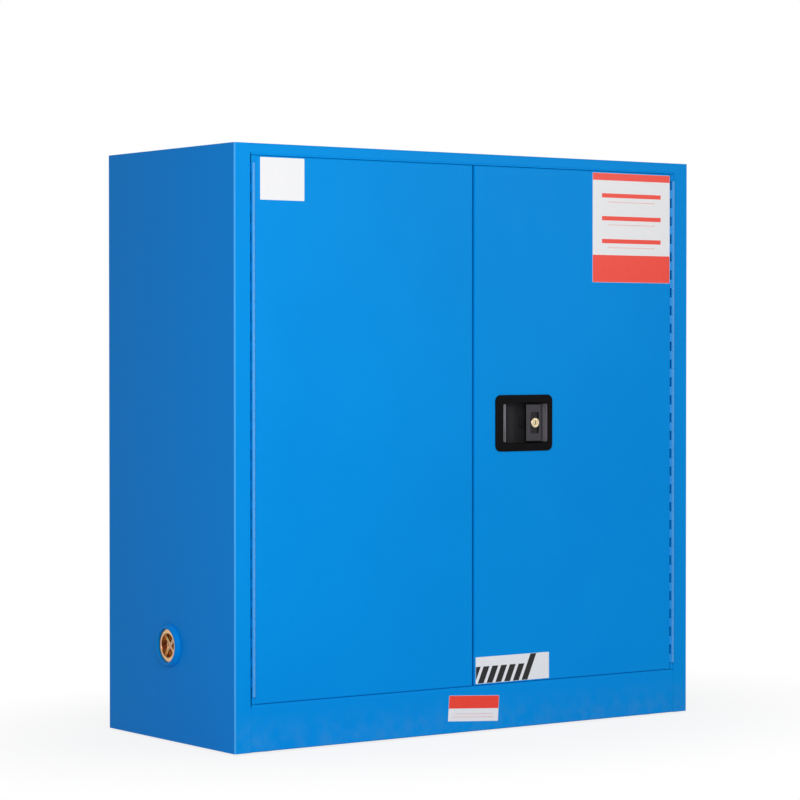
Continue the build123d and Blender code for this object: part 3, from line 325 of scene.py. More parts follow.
def zinc_plate(name):
    """Bright zinc, with its spangle and the lines of drawing."""
    plate = Finish(name, Metallic=1.0)
    grain = plate.noise(grain_size, detail=3.0, stretch=grain_run)
    cells = {"Vector": plate.place, "Scale": spangle_scale}
    cells = plate.node("ShaderNodeTexVoronoi", {}, cells, "Color")
    spangle = plate.node("ShaderNodeSeparateColor", {}, {"Color": cells}, "Red")
    shine = spangle * spangle_share + grain * grain_share
    plate.feed("Base Color", plate.blend(shine, zinc_dark, zinc_light))
    plate.feed("Roughness", zinc_rough + grain * grain_rough + spangle * spangle_rough)
    plate.bump(grain, grain_depth, grain_strength)
    return plate


works_zinc = zinc_plate("works_zinc")
works_zinc.cover(
    "shelf_clips", "foot_nuts", "ground_nut", "left_hinge_pin", "right_hinge_pin",
    "bolt_keeper", "latch_nuts", "lock_cam", "latch_chassis", "latch_rotor", "top_rod",
    "bottom_rod", "centre_bolt", "rod_guides", "rod_spring", "head_strike", "sill_strike",
)


# Threaded steel: the four levelling feet under the base and the ground stud low on the right side, zinc
# plated over a rolled thread. It runs from just above the foot's pad, or the stud's head, to the end.
foot_pitch, foot_begins, stud_pitch, stud_begins = 0.0015, 0.0102, 0.00125, 0.5440
groove_depth, groove_strength = 0.0005, 0.7


def rolled_thread(name, axis, pitch, begins, *nodes):
    """Zinc plate with thread ridges along an axis, from where the thread begins."""
    thread = zinc_plate(name)
    along = thread.axis(axis)
    ridge = (along * (2 * pi / pitch)).through("SINE")
    thread.bump(ridge * along.ease(begins, begins + pitch), groove_depth, groove_strength)
    thread.cover(*nodes)


rolled_thread(
    "foot_zinc", "Z", foot_pitch, foot_begins,
    "front_left_foot", "front_right_foot", "back_left_foot", "back_right_foot",
)
rolled_thread("stud_zinc", "X", stud_pitch, stud_begins, "ground_stud")


# Flame arrestors: behind each vent, two layers of fine woven bronze wire in a pressed rim, which let air
# through and keep a flame out. They sit in the vents' collars, behind the plugs.
wire_pitch, wire_shade, wire_light = 0.0012, (0.10, 0.065, 0.03, 1.0), (0.62, 0.43, 0.22, 1.0)
weave_edge, weave_depth, weave_strength, wire_rough, weave_rough = 0.6, 0.0003, 0.8, 0.34, 0.1

arrestor_bronze = Finish("arrestor_bronze_mesh", Metallic=1.0)
strands = []
for axis in ("Y", "Z"):
    strands.append((arrestor_bronze.axis(axis) * (2 * pi / wire_pitch)).through("SINE"))
weave = strands[0] * strands[1]
woven = arrestor_bronze.blend(weave.ease(-weave_edge, weave_edge), wire_shade, wire_light)
arrestor_bronze.feed("Base Color", woven)
arrestor_bronze.feed("Roughness", wire_rough + weave * weave_rough)
arrestor_bronze.bump(weave, weave_depth, weave_strength)
arrestor_bronze.cover("left_flame_arrestor", "right_flame_arrestor")


# Vent plugs: turned steel bungs in yellow chromate, gold with faint green and rosy bloom. A thread is cut
# round the body, the flange's edges are broken, and a cross of two bars to grip stands in the cup.
side_face, vent_y, left_vent_z, right_vent_z = 0.545, 0.0, 0.184, 0.936
plug_end, plug_break, body_radius, body_top = -0.0140, 0.0004, 0.0294, 0.0015
flange_radius, flange_top, flange_round = 0.0317, 0.0046, 0.0006
cup_radius, cup_floor, cup_fillet = 0.0230, -0.0089, 0.0012
bar_width, bar_height, bar_round, bar_root, bar_bury = 0.0070, 0.0080, 0.0010, 0.0005, 0.0004
bar_leans = ((45, 0.0), (135, 0.0001))
thread_pitch, thread_depth, thread_run = 0.0025, 0.0007, 0.0020
around_steps, thread_steps, round_steps, sharp_angle = 96, 75, 4, 40
bloom_size, bloom_share, mottle_size, mottle_share = 0.006, 0.7, 0.0018, 0.3
bloom_tints = [
    (0.25, (0.50, 0.42, 0.17, 1.0)), (0.45, (0.66, 0.45, 0.20, 1.0)),
    (0.58, (0.66, 0.36, 0.24, 1.0)), (0.75, (0.82, 0.62, 0.40, 1.0)),
]
cup_dark_brown, cup_dark_share, cup_patch_size = (0.13, 0.075, 0.035, 1.0), 0.55, 0.004
cup_dark_edge, cup_dark_full, cup_patch_thin, cup_patch_thick = 0.0232, 0.0214, 0.2, 0.7
film_rough, haze_size, haze_rough = 0.15, 0.002, 0.16
lathe_lines, lathe_share, ripple_size, film_depth, film_strength = 16000.0, 0.12, 0.003, 0.00025, 0.35


def chromate_film(name, vent_z):
    """Yellow chromate over turned steel, darker brown in patches inside the cup; the rings run round the
    vent's axis.
    """
    film = Finish(name, Metallic=1.0)
    deep, high = film.axis("Y") - vent_y, film.axis("Z") - vent_z
    reach = (deep * deep + high * high).through("SQRT")
    bloom = film.noise(bloom_size, detail=3.0) * bloom_share + film.noise(mottle_size) * mottle_share
    tint = film.node("ShaderNodeValToRGB", {"stops": bloom_tints}, {"Fac": bloom})
    # Darker brown in patches inside the cup, its bars included.
    cup_darkening = film.noise(cup_patch_size, detail=4.0).ease(cup_patch_thin, cup_patch_thick)
    cup_darkening = reach.ease(cup_dark_edge, cup_dark_full) * cup_darkening
    film.feed("Base Color", film.blend(cup_darkening * cup_dark_share, tint, cup_dark_brown))
    film.feed("Roughness", film_rough + film.noise(haze_size, detail=3.0) * haze_rough)
    lathe = (reach * lathe_lines).through("SINE")
    film.bump(lathe * lathe_share + film.noise(ripple_size), film_depth, film_strength)
    return film


def arc(centre_r, centre_a, radius, first, last):
    """Points of a rounded edge in the profile: reach from the axis, and height above the side."""
    points = []
    for step in range(round_steps + 1):
        turn = radians(first + (last - first) * step / round_steps)
        points.append((centre_r + radius * cos(turn), centre_a + radius * sin(turn)))
    return points


def plug_profile():
    """Half the plug's section from its inner end, round the flange and down into the cup."""
    thread_end = plug_end + plug_break
    profile = [(0.0, plug_end), (body_radius - thread_depth - plug_break, plug_end)]
    for step in range(thread_steps + 1):
        profile.append((body_radius, thread_end + (body_top - thread_end) * step / thread_steps))
    profile += arc(flange_radius - flange_round, body_top + flange_round, flange_round, -90, 0)
    profile += arc(flange_radius - flange_round, flange_top - flange_round, flange_round, 0, 90)
    profile += arc(cup_radius + flange_round, flange_top - flange_round, flange_round, 90, 180)
    profile += arc(cup_radius - cup_fillet, cup_floor + cup_fillet, cup_fillet, 0, -90)
    return profile + [(0.0, cup_floor)]


def turned_plug(name, body, side, vent_z):
    """The profile turned round the vent's axis, with its thread cut and the two bars across its cup."""
    film = chromate_film(name + "_chromate", vent_z)
    piece = loose_mesh(name, film.material)
    shape = bmesh.new()

    def put(reach, height, angle):
        return shape.verts.new((
            side * (side_face + height), vent_y + reach * cos(angle), vent_z + reach * sin(angle)))

    rows = []
    for reach, height in plug_profile():
        if reach == 0.0:
            rows.append([put(0.0, height, 0.0)] * around_steps)
            continue
        row = []
        for step in range(around_steps):
            angle = 2 * pi * step / around_steps
            cut = 0.0
            if reach == body_radius:
                fade = min(1.0, (body_top - height) / thread_run)
                cut = thread_depth * fade * (0.5 + 0.5 * sin(2 * pi * height / thread_pitch + angle))
            row.append(put(reach - cut, height, angle))
        rows.append(row)
    for low, high in zip(rows, rows[1:]):
        for step in range(around_steps):
            after = (step + 1) % around_steps
            corners = [low[step], low[after], high[after], high[step]]
            shape.faces.new(list(dict.fromkeys(corners)))

    half, root, crown = bar_width / 2, cup_floor - bar_root, cup_floor + bar_height
    section = [(-half, root), (half, root)]
    section += arc(half - bar_round, crown - bar_round, bar_round, 0, 90)
    section += arc(-half + bar_round, crown - bar_round, bar_round, 90, 180)
    for lean, sunk in bar_leans:
        along = Vector((cos(radians(lean)), sin(radians(lean))))
        across = Vector((-along.y, along.x))
        ends = []
        for end in (-1, 1):
            ends.append([
                (side * (side_face + height - sunk), vent_y + flat.x, vent_z + flat.y)
                for offset, height in section
                for flat in [along * end * (cup_radius + bar_bury) + across * offset]
            ])
        prism(shape, *ends)
    set_mesh(piece, shape)
    for polygon in piece.data.polygons:
        polygon.use_smooth = True
    piece.data.set_sharp_from_angle(angle=radians(sharp_angle))
    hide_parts(body)
    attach(piece, body)


turned_plug("left_turned_plug", "left_vent_plug", -1, left_vent_z)
turned_plug("right_turned_plug", "right_vent_plug", 1, right_vent_z)


# Doors: each an outer pan and an inner pan of the same sheet, welded into a hollow leaf and coated
# like the shell. Hands and cloths have polished the faces in long upright strokes.
door_coat = powder_coat("door_blue_powder", wiped=0.12)
door_coat.cover(
    "left_door_skin", "right_door_skin", "left_door_panel", "right_door_panel", "latch_cover",
)


# Meeting seal: a heat-swelling strip of dark graphite in a soft sleeve, glued along the left door's free
# edge. The gaskets under the flanges of the vent plugs are of the same dull, rubbery stuff.
seal_dark, seal_light, seal_gloss = (0.018, 0.018, 0.020, 1.0), (0.040, 0.040, 0.043, 1.0), 0.3
seal_size, seal_rough, seal_uneven, seal_depth, seal_strength = 0.0015, 0.72, 0.2, 0.0002, 0.5

seal_grey = Finish("seal_graphite", Specular_IOR_Level=seal_gloss)
seal_grain = seal_grey.noise(seal_size, detail=3.0)
seal_grey.feed("Base Color", seal_grey.blend(seal_grain, seal_dark, seal_light))
seal_grey.feed("Roughness", seal_rough + (seal_grain - 0.5) * seal_uneven)
seal_grey.bump(seal_grain, seal_depth, seal_strength)
seal_grey.cover("meeting_seal", "left_vent_gasket", "right_vent_gasket")


# Hinges: continuous steel hinges, rolled knuckles on a ground pin, coated with the doors hung in place.
# The crown of the knuckles is painted pale: partly wear of the coat, mostly a painted highlight along their
# front.
crown_highlight_pale, crown_front, crown_side, crown_highlight_share = (0.11, 0.35, 0.69, 1.0), -0.2345, -0.2328, 0.8
scuff_size, scuff_run, scuff_least, scuff_share = 0.004, (1.0, 1.0, 0.25), 0.55, 0.45
hinge_gloss = 0.4

hinge_coat = powder_coat("hinge_blue_powder", wiped=0.15)
scuff = hinge_coat.noise(scuff_size, detail=4.0, stretch=scuff_run)
# Painted highlight on the knuckles' crown, broken up in patches like wear of the coat.
crown_wear_and_highlight = hinge_coat.axis("Y").ease(crown_side, crown_front) * (scuff_least + scuff * scuff_share)
worn_and_highlit = hinge_coat.blend(crown_wear_and_highlight * crown_highlight_share, hinge_coat.tone, crown_highlight_pale)
hinge_coat.feed("Base Color", worn_and_highlit)
hinge_coat.feed("Specular IOR Level", hinge_gloss)
hinge_coat.cover(
    "left_hinge_frame_leaf", "left_hinge_door_leaf", "right_hinge_frame_leaf", "right_hinge_door_leaf",
)


# Hinge lips: the door's knuckles are rolled from a lip that bends forward off the door's edge, so every
# second knuckle runs over into the door and the gap shows only between them. One lip is drawn for each
# door, and a tree of nodes repeats it up the edge.
hinge_x, hinge_y = 0.505, -0.231
lip_first, lip_pitch, lip_length, lip_count = 0.1063, 0.03622, 0.0175, 27
lip_section = ((-0.0064, 0.0009), (-0.00256, -0.00267), (-0.0020, -0.0005), (-0.0040, 0.0014))


class Tree:
    """A tree of geometry nodes with named inputs, whose result becomes a piece's plain mesh."""

    def __init__(self, name, **inputs):
        self.group = bpy.data.node_groups.new(name, "GeometryNodeTree")
        self.group.is_modifier = True
        for socket, kind in inputs.items():
            self.group.interface.new_socket(socket, in_out="INPUT", socket_type="NodeSocket" + kind)
        self.group.interface.new_socket("Result", in_out="OUTPUT", socket_type="NodeSocketGeometry")
        self.given = self.group.nodes.new("NodeGroupInput").outputs

    def add(self, kind, settings=None, sockets=None):
        node = self.group.nodes.new(kind)
        for name, value in (settings or {}).items():
            setattr(node, name, value)
        for name, value in (sockets or {}).items():
            for entry in value if isinstance(value, list) else [value]:
                if isinstance(entry, bpy.types.NodeSocket):
                    self.group.links.new(entry, node.inputs[name])
                else:
                    node.inputs[name].default_value = entry
        return node.outputs

    def sums(self, operation, first, second):
        return self.add("ShaderNodeMath", {"operation": operation}, {0: first, 1: second})[0]

    def close(self, instances):
        """Ends the tree: the instances become one mesh and get their metal."""
        made = self.add("GeometryNodeRealizeInstances", {}, {"Geometry": instances})[0]
        made = {"Geometry": made, "Material": self.given["Metal"]}
        made = self.add("GeometryNodeSetMaterial", {}, made)[0]
        self.group.links.new(made, self.group.nodes.new("NodeGroupOutput").inputs["Result"])

    def grow(self, piece, **given):
        """Runs the tree on a piece's own mesh and keeps what comes out as its mesh."""
        grown = piece.modifiers.new("grown", "NODES")
        grown.node_group = self.group
        for socket in self.group.interface.items_tree:
            if socket.in_out == "INPUT" and socket.name in given:
                grown[socket.identifier] = given[socket.name]
        made = bpy.data.meshes.new_from_object(piece.evaluated_get(bpy.context.evaluated_depsgraph_get()))
        piece.modifiers.remove(grown)
        piece.data = made


lip_row = Tree("lip_row", Lip="Geometry", Count="Int", Pitch="Float", Metal="Material")
lip_step = lip_row.add("ShaderNodeCombineXYZ", {}, {"Z": lip_row.given["Pitch"]})[0]
lip_line = {"Count": lip_row.given["Count"], "Offset": lip_step}
lip_line = lip_row.add("GeometryNodeMeshLine", {}, lip_line)["Mesh"]
lip_line = {"Points": lip_line, "Instance": lip_row.given["Lip"]}
lip_row.close(lip_row.add("GeometryNodeInstanceOnPoints", {}, lip_line)[0])

for door, side in (("left_door", -1), ("right_door", 1)):
    hinge_lips = loose_mesh(door + "_hinge_lips", hinge_coat.material)
    lip_shape = bmesh.new()
    outline = [(side * (hinge_x + x), hinge_y + y) for x, y in lip_section]
    upright(lip_shape, outline, lip_first, lip_first + lip_length)
    set_mesh(hinge_lips, lip_shape)
    lip_row.grow(hinge_lips, Count=lip_count, Pitch=lip_pitch, Metal=hinge_coat.material)
    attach(hinge_lips, door)


# Corner tabs: at both ends of each hinge a tab of the door's skin reaches over to the post, so the gap does
# not gape above and below the barrel. It turns close round the hinge's line and clears the post.
tab_section = ((-0.0041, 0.0011), (0.0033, 0.0011), (0.0026, 0.0024), (-0.0041, 0.0024))
tab_levels = ((0.0924, 0.1057), (1.0843, 1.0976))

for door, side in (("left_door", -1), ("right_door", 1)):
    corner_tabs = loose_mesh(door + "_corner_tabs", door_coat.material)
    tab_shape = bmesh.new()
    outline = [(side * (hinge_x + x), hinge_y + y) for x, y in tab_section]
    for low, high in tab_levels:
        upright(tab_shape, outline, low, high)
    set_mesh(corner_tabs, tab_shape)
    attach(corner_tabs, door)


# Latch: a zinc casting, the dish and its pull lever, stoved satin black with a fine sparked grain. A
# painted highlight in pale grey runs up the dish's side lips, the pocket's floor in shade is painted a
# lighter black as painted light, and the lever is painted a lighter black than the dish as a painted sheen,
# with painted shade in its recess.
latch_grain_size, latch_grain_depth, latch_grain_strength, latch_grain_rough = 0.0007, 0.00012, 0.35, 0.16
latch_cloud_size, latch_cloud_run, latch_cloud_rough = 0.02, (1.0, 1.0, 0.4), 0.12
dish_dark, dish_light = (0.003, 0.0025, 0.003, 1.0), (0.005, 0.0045, 0.005, 1.0)
lip_glint_grey, pocket_lit_grey = (0.20, 0.185, 0.21, 1.0), (0.026, 0.025, 0.0275, 1.0)
lever_dark, lever_light = (0.026, 0.023, 0.029, 1.0), (0.044, 0.041, 0.050, 1.0)
glint_left, glint_right, glint_levels, glint_soft = (0.0715, 0.0835), (0.1765, 0.1822), (0.5620, 0.6360), 0.0008
glint_size, glint_run, glint_thin, glint_full = 0.006, (1.0, 1.0, 0.1), 0.15, 0.5
glint_front, glint_back, pocket_front, pocket_floor = -0.2320, -0.2305, -0.2240, -0.2065
recess_front, recess_floor = -0.2275, -0.2262


def stoved_black(name, dark, light, rough, gloss):
    """Black stove enamel with a fine grain and a cloudy sheen."""
    black = Finish(name, Specular_IOR_Level=gloss)
    grain = black.noise(latch_grain_size)
    cloud = black.noise(latch_cloud_size, detail=3.0, stretch=latch_cloud_run)
    black.tone = black.blend(cloud, dark, light)
    black.feed("Base Color", black.tone)
    uneven = (grain - 0.5) * latch_grain_rough + (cloud - 0.5) * latch_cloud_rough
    black.feed("Roughness", rough + uneven)
    black.bump(grain, latch_grain_depth, latch_grain_strength)
    return black


def band(axis, ends):
    """1 between two places along an axis, with soft ends."""
    low, high = ends
    return axis.ease(low - glint_soft, low + glint_soft) * axis.ease(high + glint_soft, high - glint_soft)


dish_black = stoved_black("dish_stoved_black", dish_dark, dish_light, rough=0.36, gloss=0.03)
# Painted highlight: a pale grey band up each side lip of the dish.
painted_lip_glint = band(dish_black.axis("X"), glint_left) + band(dish_black.axis("X"), glint_right)
painted_lip_glint = painted_lip_glint * band(dish_black.axis("Z"), glint_levels)
painted_lip_glint = painted_lip_glint * dish_black.noise(glint_size, detail=3.0, stretch=glint_run).ease(glint_thin, glint_full)
painted_lip_glint = painted_lip_glint * dish_black.axis("Y").ease(glint_front, glint_back)
# Painted light: the deep floor of the pocket, which lies in shade, is painted a lighter black.
pocket = dish_black.axis("Y").ease(pocket_front, pocket_floor)
pocket = dish_black.blend(pocket, dish_black.tone, pocket_lit_grey)
dish_black.feed("Base Color", dish_black.blend(painted_lip_glint, pocket, lip_glint_grey))
dish_black.cover("latch_dish", "lever_pin")

# Painted sheen: the lever is painted a lighter black than the dish.
lever_black = stoved_black("lever_stoved_black", lever_dark, lever_light, rough=0.30, gloss=0.2)
# Painted shade: the recess round the lock is painted the dish's deepest black.
recess = lever_black.axis("Y").ease(recess_front, recess_floor)
lever_black.feed("Base Color", lever_black.blend(recess, lever_black.tone, dish_dark))
lever_black.cover("latch_lever")


# Key lock: a turned brass barrel pressed into the lever, and the plug with its keyway.
# The face has the fine rings of the lathe and the plug a duller tone from keys.
lock_x, lock_z, turned_lines, turned_depth, turned_strength = 0.1515, 0.599, 14000.0, 0.00002, 0.5
barrel_light, barrel_dark = (0.60, 0.52, 0.36, 1.0), (0.52, 0.43, 0.28, 1.0)
plug_light, plug_dark = (0.54, 0.45, 0.29, 1.0), (0.40, 0.32, 0.19, 1.0)
stain_size, stain_rough = 0.003, 0.12


def turned_brass(name, light, dark, rough, node):
    """Stained brass with lathe rings round the lock's axis, put on one solid."""
    brass = Finish(name, Metallic=1.0)
    across = brass.axis("X") - lock_x
    up = brass.axis("Z") - lock_z
    rings = ((across * across + up * up).through("SQRT") * turned_lines).through("SINE")
    stain = brass.noise(stain_size, detail=4.0)
    brass.feed("Base Color", brass.blend(stain, dark, light))
    brass.feed("Roughness", rough + stain * stain_rough)
    brass.bump(rings, turned_depth, turned_strength)
    brass.cover(node)


turned_brass("barrel_brass", barrel_light, barrel_dark, rough=0.26, node="lock_barrel")
turned_brass("key_plug_brass", plug_light, plug_dark, rough=0.30, node="key_plug")


# Rod return spring: spring wire coiled open, with a closed turn at each end, between its seat in the right
# door and the tab on the top rod. It shortens as the lever draws the rod down.
spring_low, spring_high = (Vector(corner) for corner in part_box("rod_spring"))
spring_middle = (spring_low + spring_high) / 2
wire_radius, wire_sides = 0.0007, 10
coil_radius = (spring_high.x - spring_low.x) / 2 - wire_radius
coil_turns, coil_steps, closed_turns, closed_pitch = 10, 28, 1.0, 0.00147


def coil_rise(turn):
    """Height up the spring after so many turns; the end turns lie close together."""
    open_height = spring_high.z - spring_low.z - 2 * wire_radius - 2 * closed_turns * closed_pitch
    part = min(max((turn - closed_turns) / (coil_turns - 2 * closed_turns), 0.0), 1.0)
    ends = min(turn, closed_turns) + max(turn - (coil_turns - closed_turns), 0.0)
    return spring_low.z + wire_radius + ends * closed_pitch + part * open_height


rod_coil = loose_mesh("rod_coil", works_zinc.material)
coil_shape = bmesh.new()
rings = []
for step in range(coil_turns * coil_steps + 1):
    turn = step / coil_steps
    angle = 2 * pi * turn
    out = Vector((cos(angle), sin(angle), 0.0))
    centre = Vector((spring_middle.x, spring_middle.y, coil_rise(turn))) + out * coil_radius
    ring = []
    for side in range(wire_sides):
        around = 2 * pi * side / wire_sides
        offset = out * cos(around) + Vector((0, 0, sin(around)))
        ring.append(coil_shape.verts.new(centre + offset * wire_radius))
    rings.append(ring)
for first, second in zip(rings, rings[1:]):
    for side in range(wire_sides):
        after = (side + 1) % wire_sides
        coil_shape.faces.new((first[side], first[after], second[after], second[side]))
coil_shape.faces.new(rings[0])
coil_shape.faces.new(rings[-1])
set_mesh(rod_coil, coil_shape)
for polygon in rod_coil.data.polygons:
    polygon.use_smooth = True
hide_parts("rod_spring")
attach(rod_coil, "right_door")
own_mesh(rod_coil)


# Fasteners: dome rivets hold the hinge leaves, the shelf standards, the liners and the doors' inner pans,
# coated over with them; bright cross-head screws hold the latch cover. All come from one tree of nodes
# that sets a head on each place and turns it to face outwards.
head_sides, head_rings, cross_reach, cross_width, spin_seed = 20, 12, 1.15, 0.26, 7
rivet_radius, rivet_height, screw_radius, screw_height = 0.0030, 0.0013, 0.0040, 0.0024


def fastener_tree():
    """Domed heads on the places, with a cross cut into them where asked, each turned by chance."""
    tree = Tree(
        "fastener_heads", Places="Geometry", Radius="Float", Height="Float", Cross="Bool", Metal="Material"
    )
    add, sums, given = tree.add, tree.sums, tree.given
    ball = {"Segments": head_sides, "Rings": head_rings, "Radius": given["Radius"]}
    ball = add("GeometryNodeMeshUVSphere", {}, ball)["Mesh"]
    point = add("ShaderNodeSeparateXYZ", {}, {0: add("GeometryNodeInputPosition")[0]})
    flatter = sums("DIVIDE", given["Height"], given["Radius"])
    rise = sums("MULTIPLY", sums("MAXIMUM", point["Z"], 0.0), flatter)
    domed = add("ShaderNodeCombineXYZ", {}, {"X": point["X"], "Y": point["Y"], "Z": rise})[0]
    dome = add("GeometryNodeSetPosition", {}, {"Geometry": ball, "Position": domed})[0]
    dome = add("GeometryNodeSetShadeSmooth", {}, {"Geometry": dome, "Shade Smooth": True})[0]

    arm = sums("MULTIPLY", given["Radius"], cross_reach)
    wide = sums("MULTIPLY", given["Radius"], cross_width)
    bars = []
    for across, along in ((arm, wide), (wide, arm)):
        size = add("ShaderNodeCombineXYZ", {}, {"X": across, "Y": along, "Z": given["Height"]})[0]
        bar = add("GeometryNodeMeshCube", {}, {"Size": size})["Mesh"]
        lift = add("ShaderNodeCombineXYZ", {}, {"Z": given["Height"]})[0]
        bars.append(add("GeometryNodeTransform", {}, {"Geometry": bar, "Translation": lift})[0])
    cut = {"Mesh 1": dome, "Mesh 2": bars}
    cut = add("GeometryNodeMeshBoolean", {"operation": "DIFFERENCE"}, cut)["Mesh"]
    head = {"Switch": given["Cross"], "False": dome, "True": cut}
    head = add("GeometryNodeSwitch", {"input_type": "GEOMETRY"}, head)[0]

    way = {"Name": "facing"}
    way = add("GeometryNodeInputNamedAttribute", {"data_type": "FLOAT_VECTOR"}, way)["Attribute"]
    turned = add("FunctionNodeAlignRotationToVector", {"axis": "Z"}, {"Vector": way})[0]
    chance = {"Min": 0.0, "Max": pi, "Seed": spin_seed}
    chance = add("FunctionNodeRandomValue", {"data_type": "FLOAT"}, chance)
    chance = next(output for output in chance if output.enabled)
    spin = add("ShaderNodeCombineXYZ", {}, {"Z": chance})[0]
    spin = {"Rotation": turned, "Rotate By": add("FunctionNodeEulerToRotation", {}, {"Euler": spin})[0]}
    spun = add("FunctionNodeRotateRotation", {"rotation_space": "LOCAL"}, spin)[0]
    heads = {"Points": given["Places"], "Instance": head, "Rotation": spun}
    tree.close(add("GeometryNodeInstanceOnPoints", {}, heads)[0])
    return tree


fasteners = fastener_tree()


def fasten(name, body, finish, places, radius=rivet_radius, height=rivet_height, cross=False):
    """One mesh of heads for one body; each place is a point and the way its head faces."""
    piece = loose_mesh(name, finish.material)
    piece.data.from_pydata([point for point, _ in places], [], [])
    facing = piece.data.attributes.new("facing", "FLOAT_VECTOR", "POINT")
    for entry, (_, way) in zip(facing.data, places):
        entry.vector = way
    fasteners.grow(piece, Radius=radius, Height=height, Cross=cross, Metal=finish.material)
    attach(piece, body)


def spaced(first, pitch, count):
    """Places in a row at an even pitch."""
    return [first + number * pitch for number in range(count)]


leaf_row, frame_leaf_x, door_leaf_x = -0.2135, 0.5078, 0.5022
leaf_first, leaf_pitch, leaf_rivets = 0.142, 0.0906, 11
standard_face, standard_row, standard_levels = 0.4986, 0.120, (0.155, 0.330, 0.505, 0.790, 0.985)
liner_face, liner_row, liner_back_face, liner_back_edge = 0.5046, -0.1775, 0.1896, 0.492
liner_levels = spaced(first=0.150, pitch=0.1125, count=9)
carcass_rivets = [
    ((side * frame_leaf_x, leaf_row, z), (-side, 0, 0))
    for side in (-1, 1) for z in spaced(leaf_first, leaf_pitch, leaf_rivets)
]
carcass_rivets += [
    ((side * standard_face, row * standard_row, z), (-side, 0, 0))
    for side in (-1, 1) for row in (-1, 1) for z in standard_levels
]
for side in (-1, 1):
    carcass_rivets += [((side * liner_face, liner_row, z), (-side, 0, 0)) for z in liner_levels]
    carcass_rivets += [((side * liner_back_edge, liner_back_face, z), (0, -1, 0)) for z in liner_levels]
fasten("carcass_rivets", "carcass", shell_coat, carcass_rivets)

panel_back, panel_low, panel_high = -0.1896, 0.1060, 1.0840
panel_levels = spaced(panel_low, pitch=0.12225, count=9)
panel_free, *panel_across, panel_hung = spaced(first=0.0160, pitch=0.11775, count=5)
for door, side in (("left_door", -1), ("right_door", 1)):
    door_rivets = [
        ((side * door_leaf_x, leaf_row, z), (side, 0, 0))
        for z in spaced(leaf_first + leaf_pitch / 2, leaf_pitch, leaf_rivets - 1)
    ]
    rim = [(x, z) for x in (panel_free, panel_hung) for z in panel_levels]
    rim += [(x, z) for x in panel_across for z in (panel_low, panel_high)]
    door_rivets += [((side * x, panel_back, z), (0, 1, 0)) for x, z in rim]
    fasten(door + "_rivets", door, door_coat, door_rivets)

cover_face, cover_columns, cover_rows = -0.1884, (0.0765, 0.1625, 0.2485), (0.538, 0.660)
cover_places = [((x, cover_face, z), (0, 1, 0)) for x in cover_columns for z in cover_rows]
fasten(
    "cover_screws", "right_door", works_zinc, cover_places,
    radius=screw_radius, height=screw_height, cross=True,
)


# Labels: bare vinyl blanks with plain colour fields, pressed on after coating. Each is a thin sheet with
# rounded corners; the inks are a second, thinner layer on it. The one on the plinth sits a little askew.
vinyl_face, vinyl_thickness, ink_thickness = -0.230, 0.00022, 0.00004
vinyl_corner, corner_steps, vinyl_gloss = 0.0015, 4, 0.25
vinyl_scuff, vinyl_uneven, vinyl_grain, vinyl_depth, vinyl_strength = 0.01, 0.14, 0.0009, 0.00004, 0.3


def vinyl(name, light, dark, rough):
    """Faintly scuffed vinyl or ink."""
    sheet = Finish(name, Specular_IOR_Level=vinyl_gloss)
    scuffs = sheet.noise(vinyl_scuff, detail=4.0)
    sheet.feed("Base Color", sheet.blend(scuffs, dark, light))
    sheet.feed("Roughness", rough + (scuffs - 0.5) * vinyl_uneven)
    sheet.bump(sheet.noise(vinyl_grain, detail=1.0), vinyl_depth, vinyl_strength)
    return sheet.material


vinyl_inks = [
    vinyl("vinyl_white", (0.79, 0.79, 0.80, 1.0), (0.75, 0.75, 0.76, 1.0), rough=0.38),
    vinyl("vinyl_red_ink", (0.86, 0.055, 0.028, 1.0), (0.78, 0.042, 0.022, 1.0), rough=0.34),
    vinyl("vinyl_black_ink", (0.012, 0.012, 0.014, 1.0), (0.007, 0.007, 0.008, 1.0), rough=0.36),
    vinyl("vinyl_pale_rule", (0.80, 0.50, 0.48, 1.0), (0.74, 0.45, 0.43, 1.0), rough=0.36),
]
white, red, black, rule = range(len(vinyl_inks))


def rounded(left, low, right, high):
    """A rectangle with round corners, as points going round it."""
    points = []
    for x, z, start in ((right, low, -90), (right, high, 0), (left, high, 90), (left, low, 180)):
        middle_x = x - vinyl_corner if x == right else x + vinyl_corner
        middle_z = z - vinyl_corner if z == high else z + vinyl_corner
        for step in range(corner_steps + 1):
            turn = radians(start + 90 * step / corner_steps)
            points.append((middle_x + vinyl_corner * cos(turn), middle_z + vinyl_corner * sin(turn)))
    return points


def label(name, body, blank, prints, askew=0.0):
    """A vinyl blank on the front, with printed fields as outlines and inks."""
    piece = loose_mesh(name, vinyl_inks[0])
    for ink in vinyl_inks[1:]:
        piece.data.materials.append(ink)
    left, low, right, high = blank
    middle = Vector(((left + right) / 2, (low + high) / 2))
    turn = Matrix.Rotation(radians(askew), 2)
    shape = bmesh.new()
    for outline, ink in [(rounded(*blank), white)] + prints:
        placed = [turn @ (Vector(point) - middle) + middle for point in outline]
        near = vinyl_face - (vinyl_thickness + ink_thickness if ink else vinyl_thickness)
        far = vinyl_face - (vinyl_thickness if ink else 0.0)
        faces = prism(shape, [(x, far, z) for x, z in placed], [(x, near, z) for x, z in placed])
        for face in faces:
            face.material_index = ink
    set_mesh(piece, shape)
    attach(piece, body)


def field(left, low, right, high):
    """A plain rectangle, as points going round it."""
    return [(left, low), (right, low), (right, high), (left, high)]


white_blank = (-0.4890, 1.0170, -0.3920, 1.0950)
label("door_white_blank", "left_door", white_blank, [])

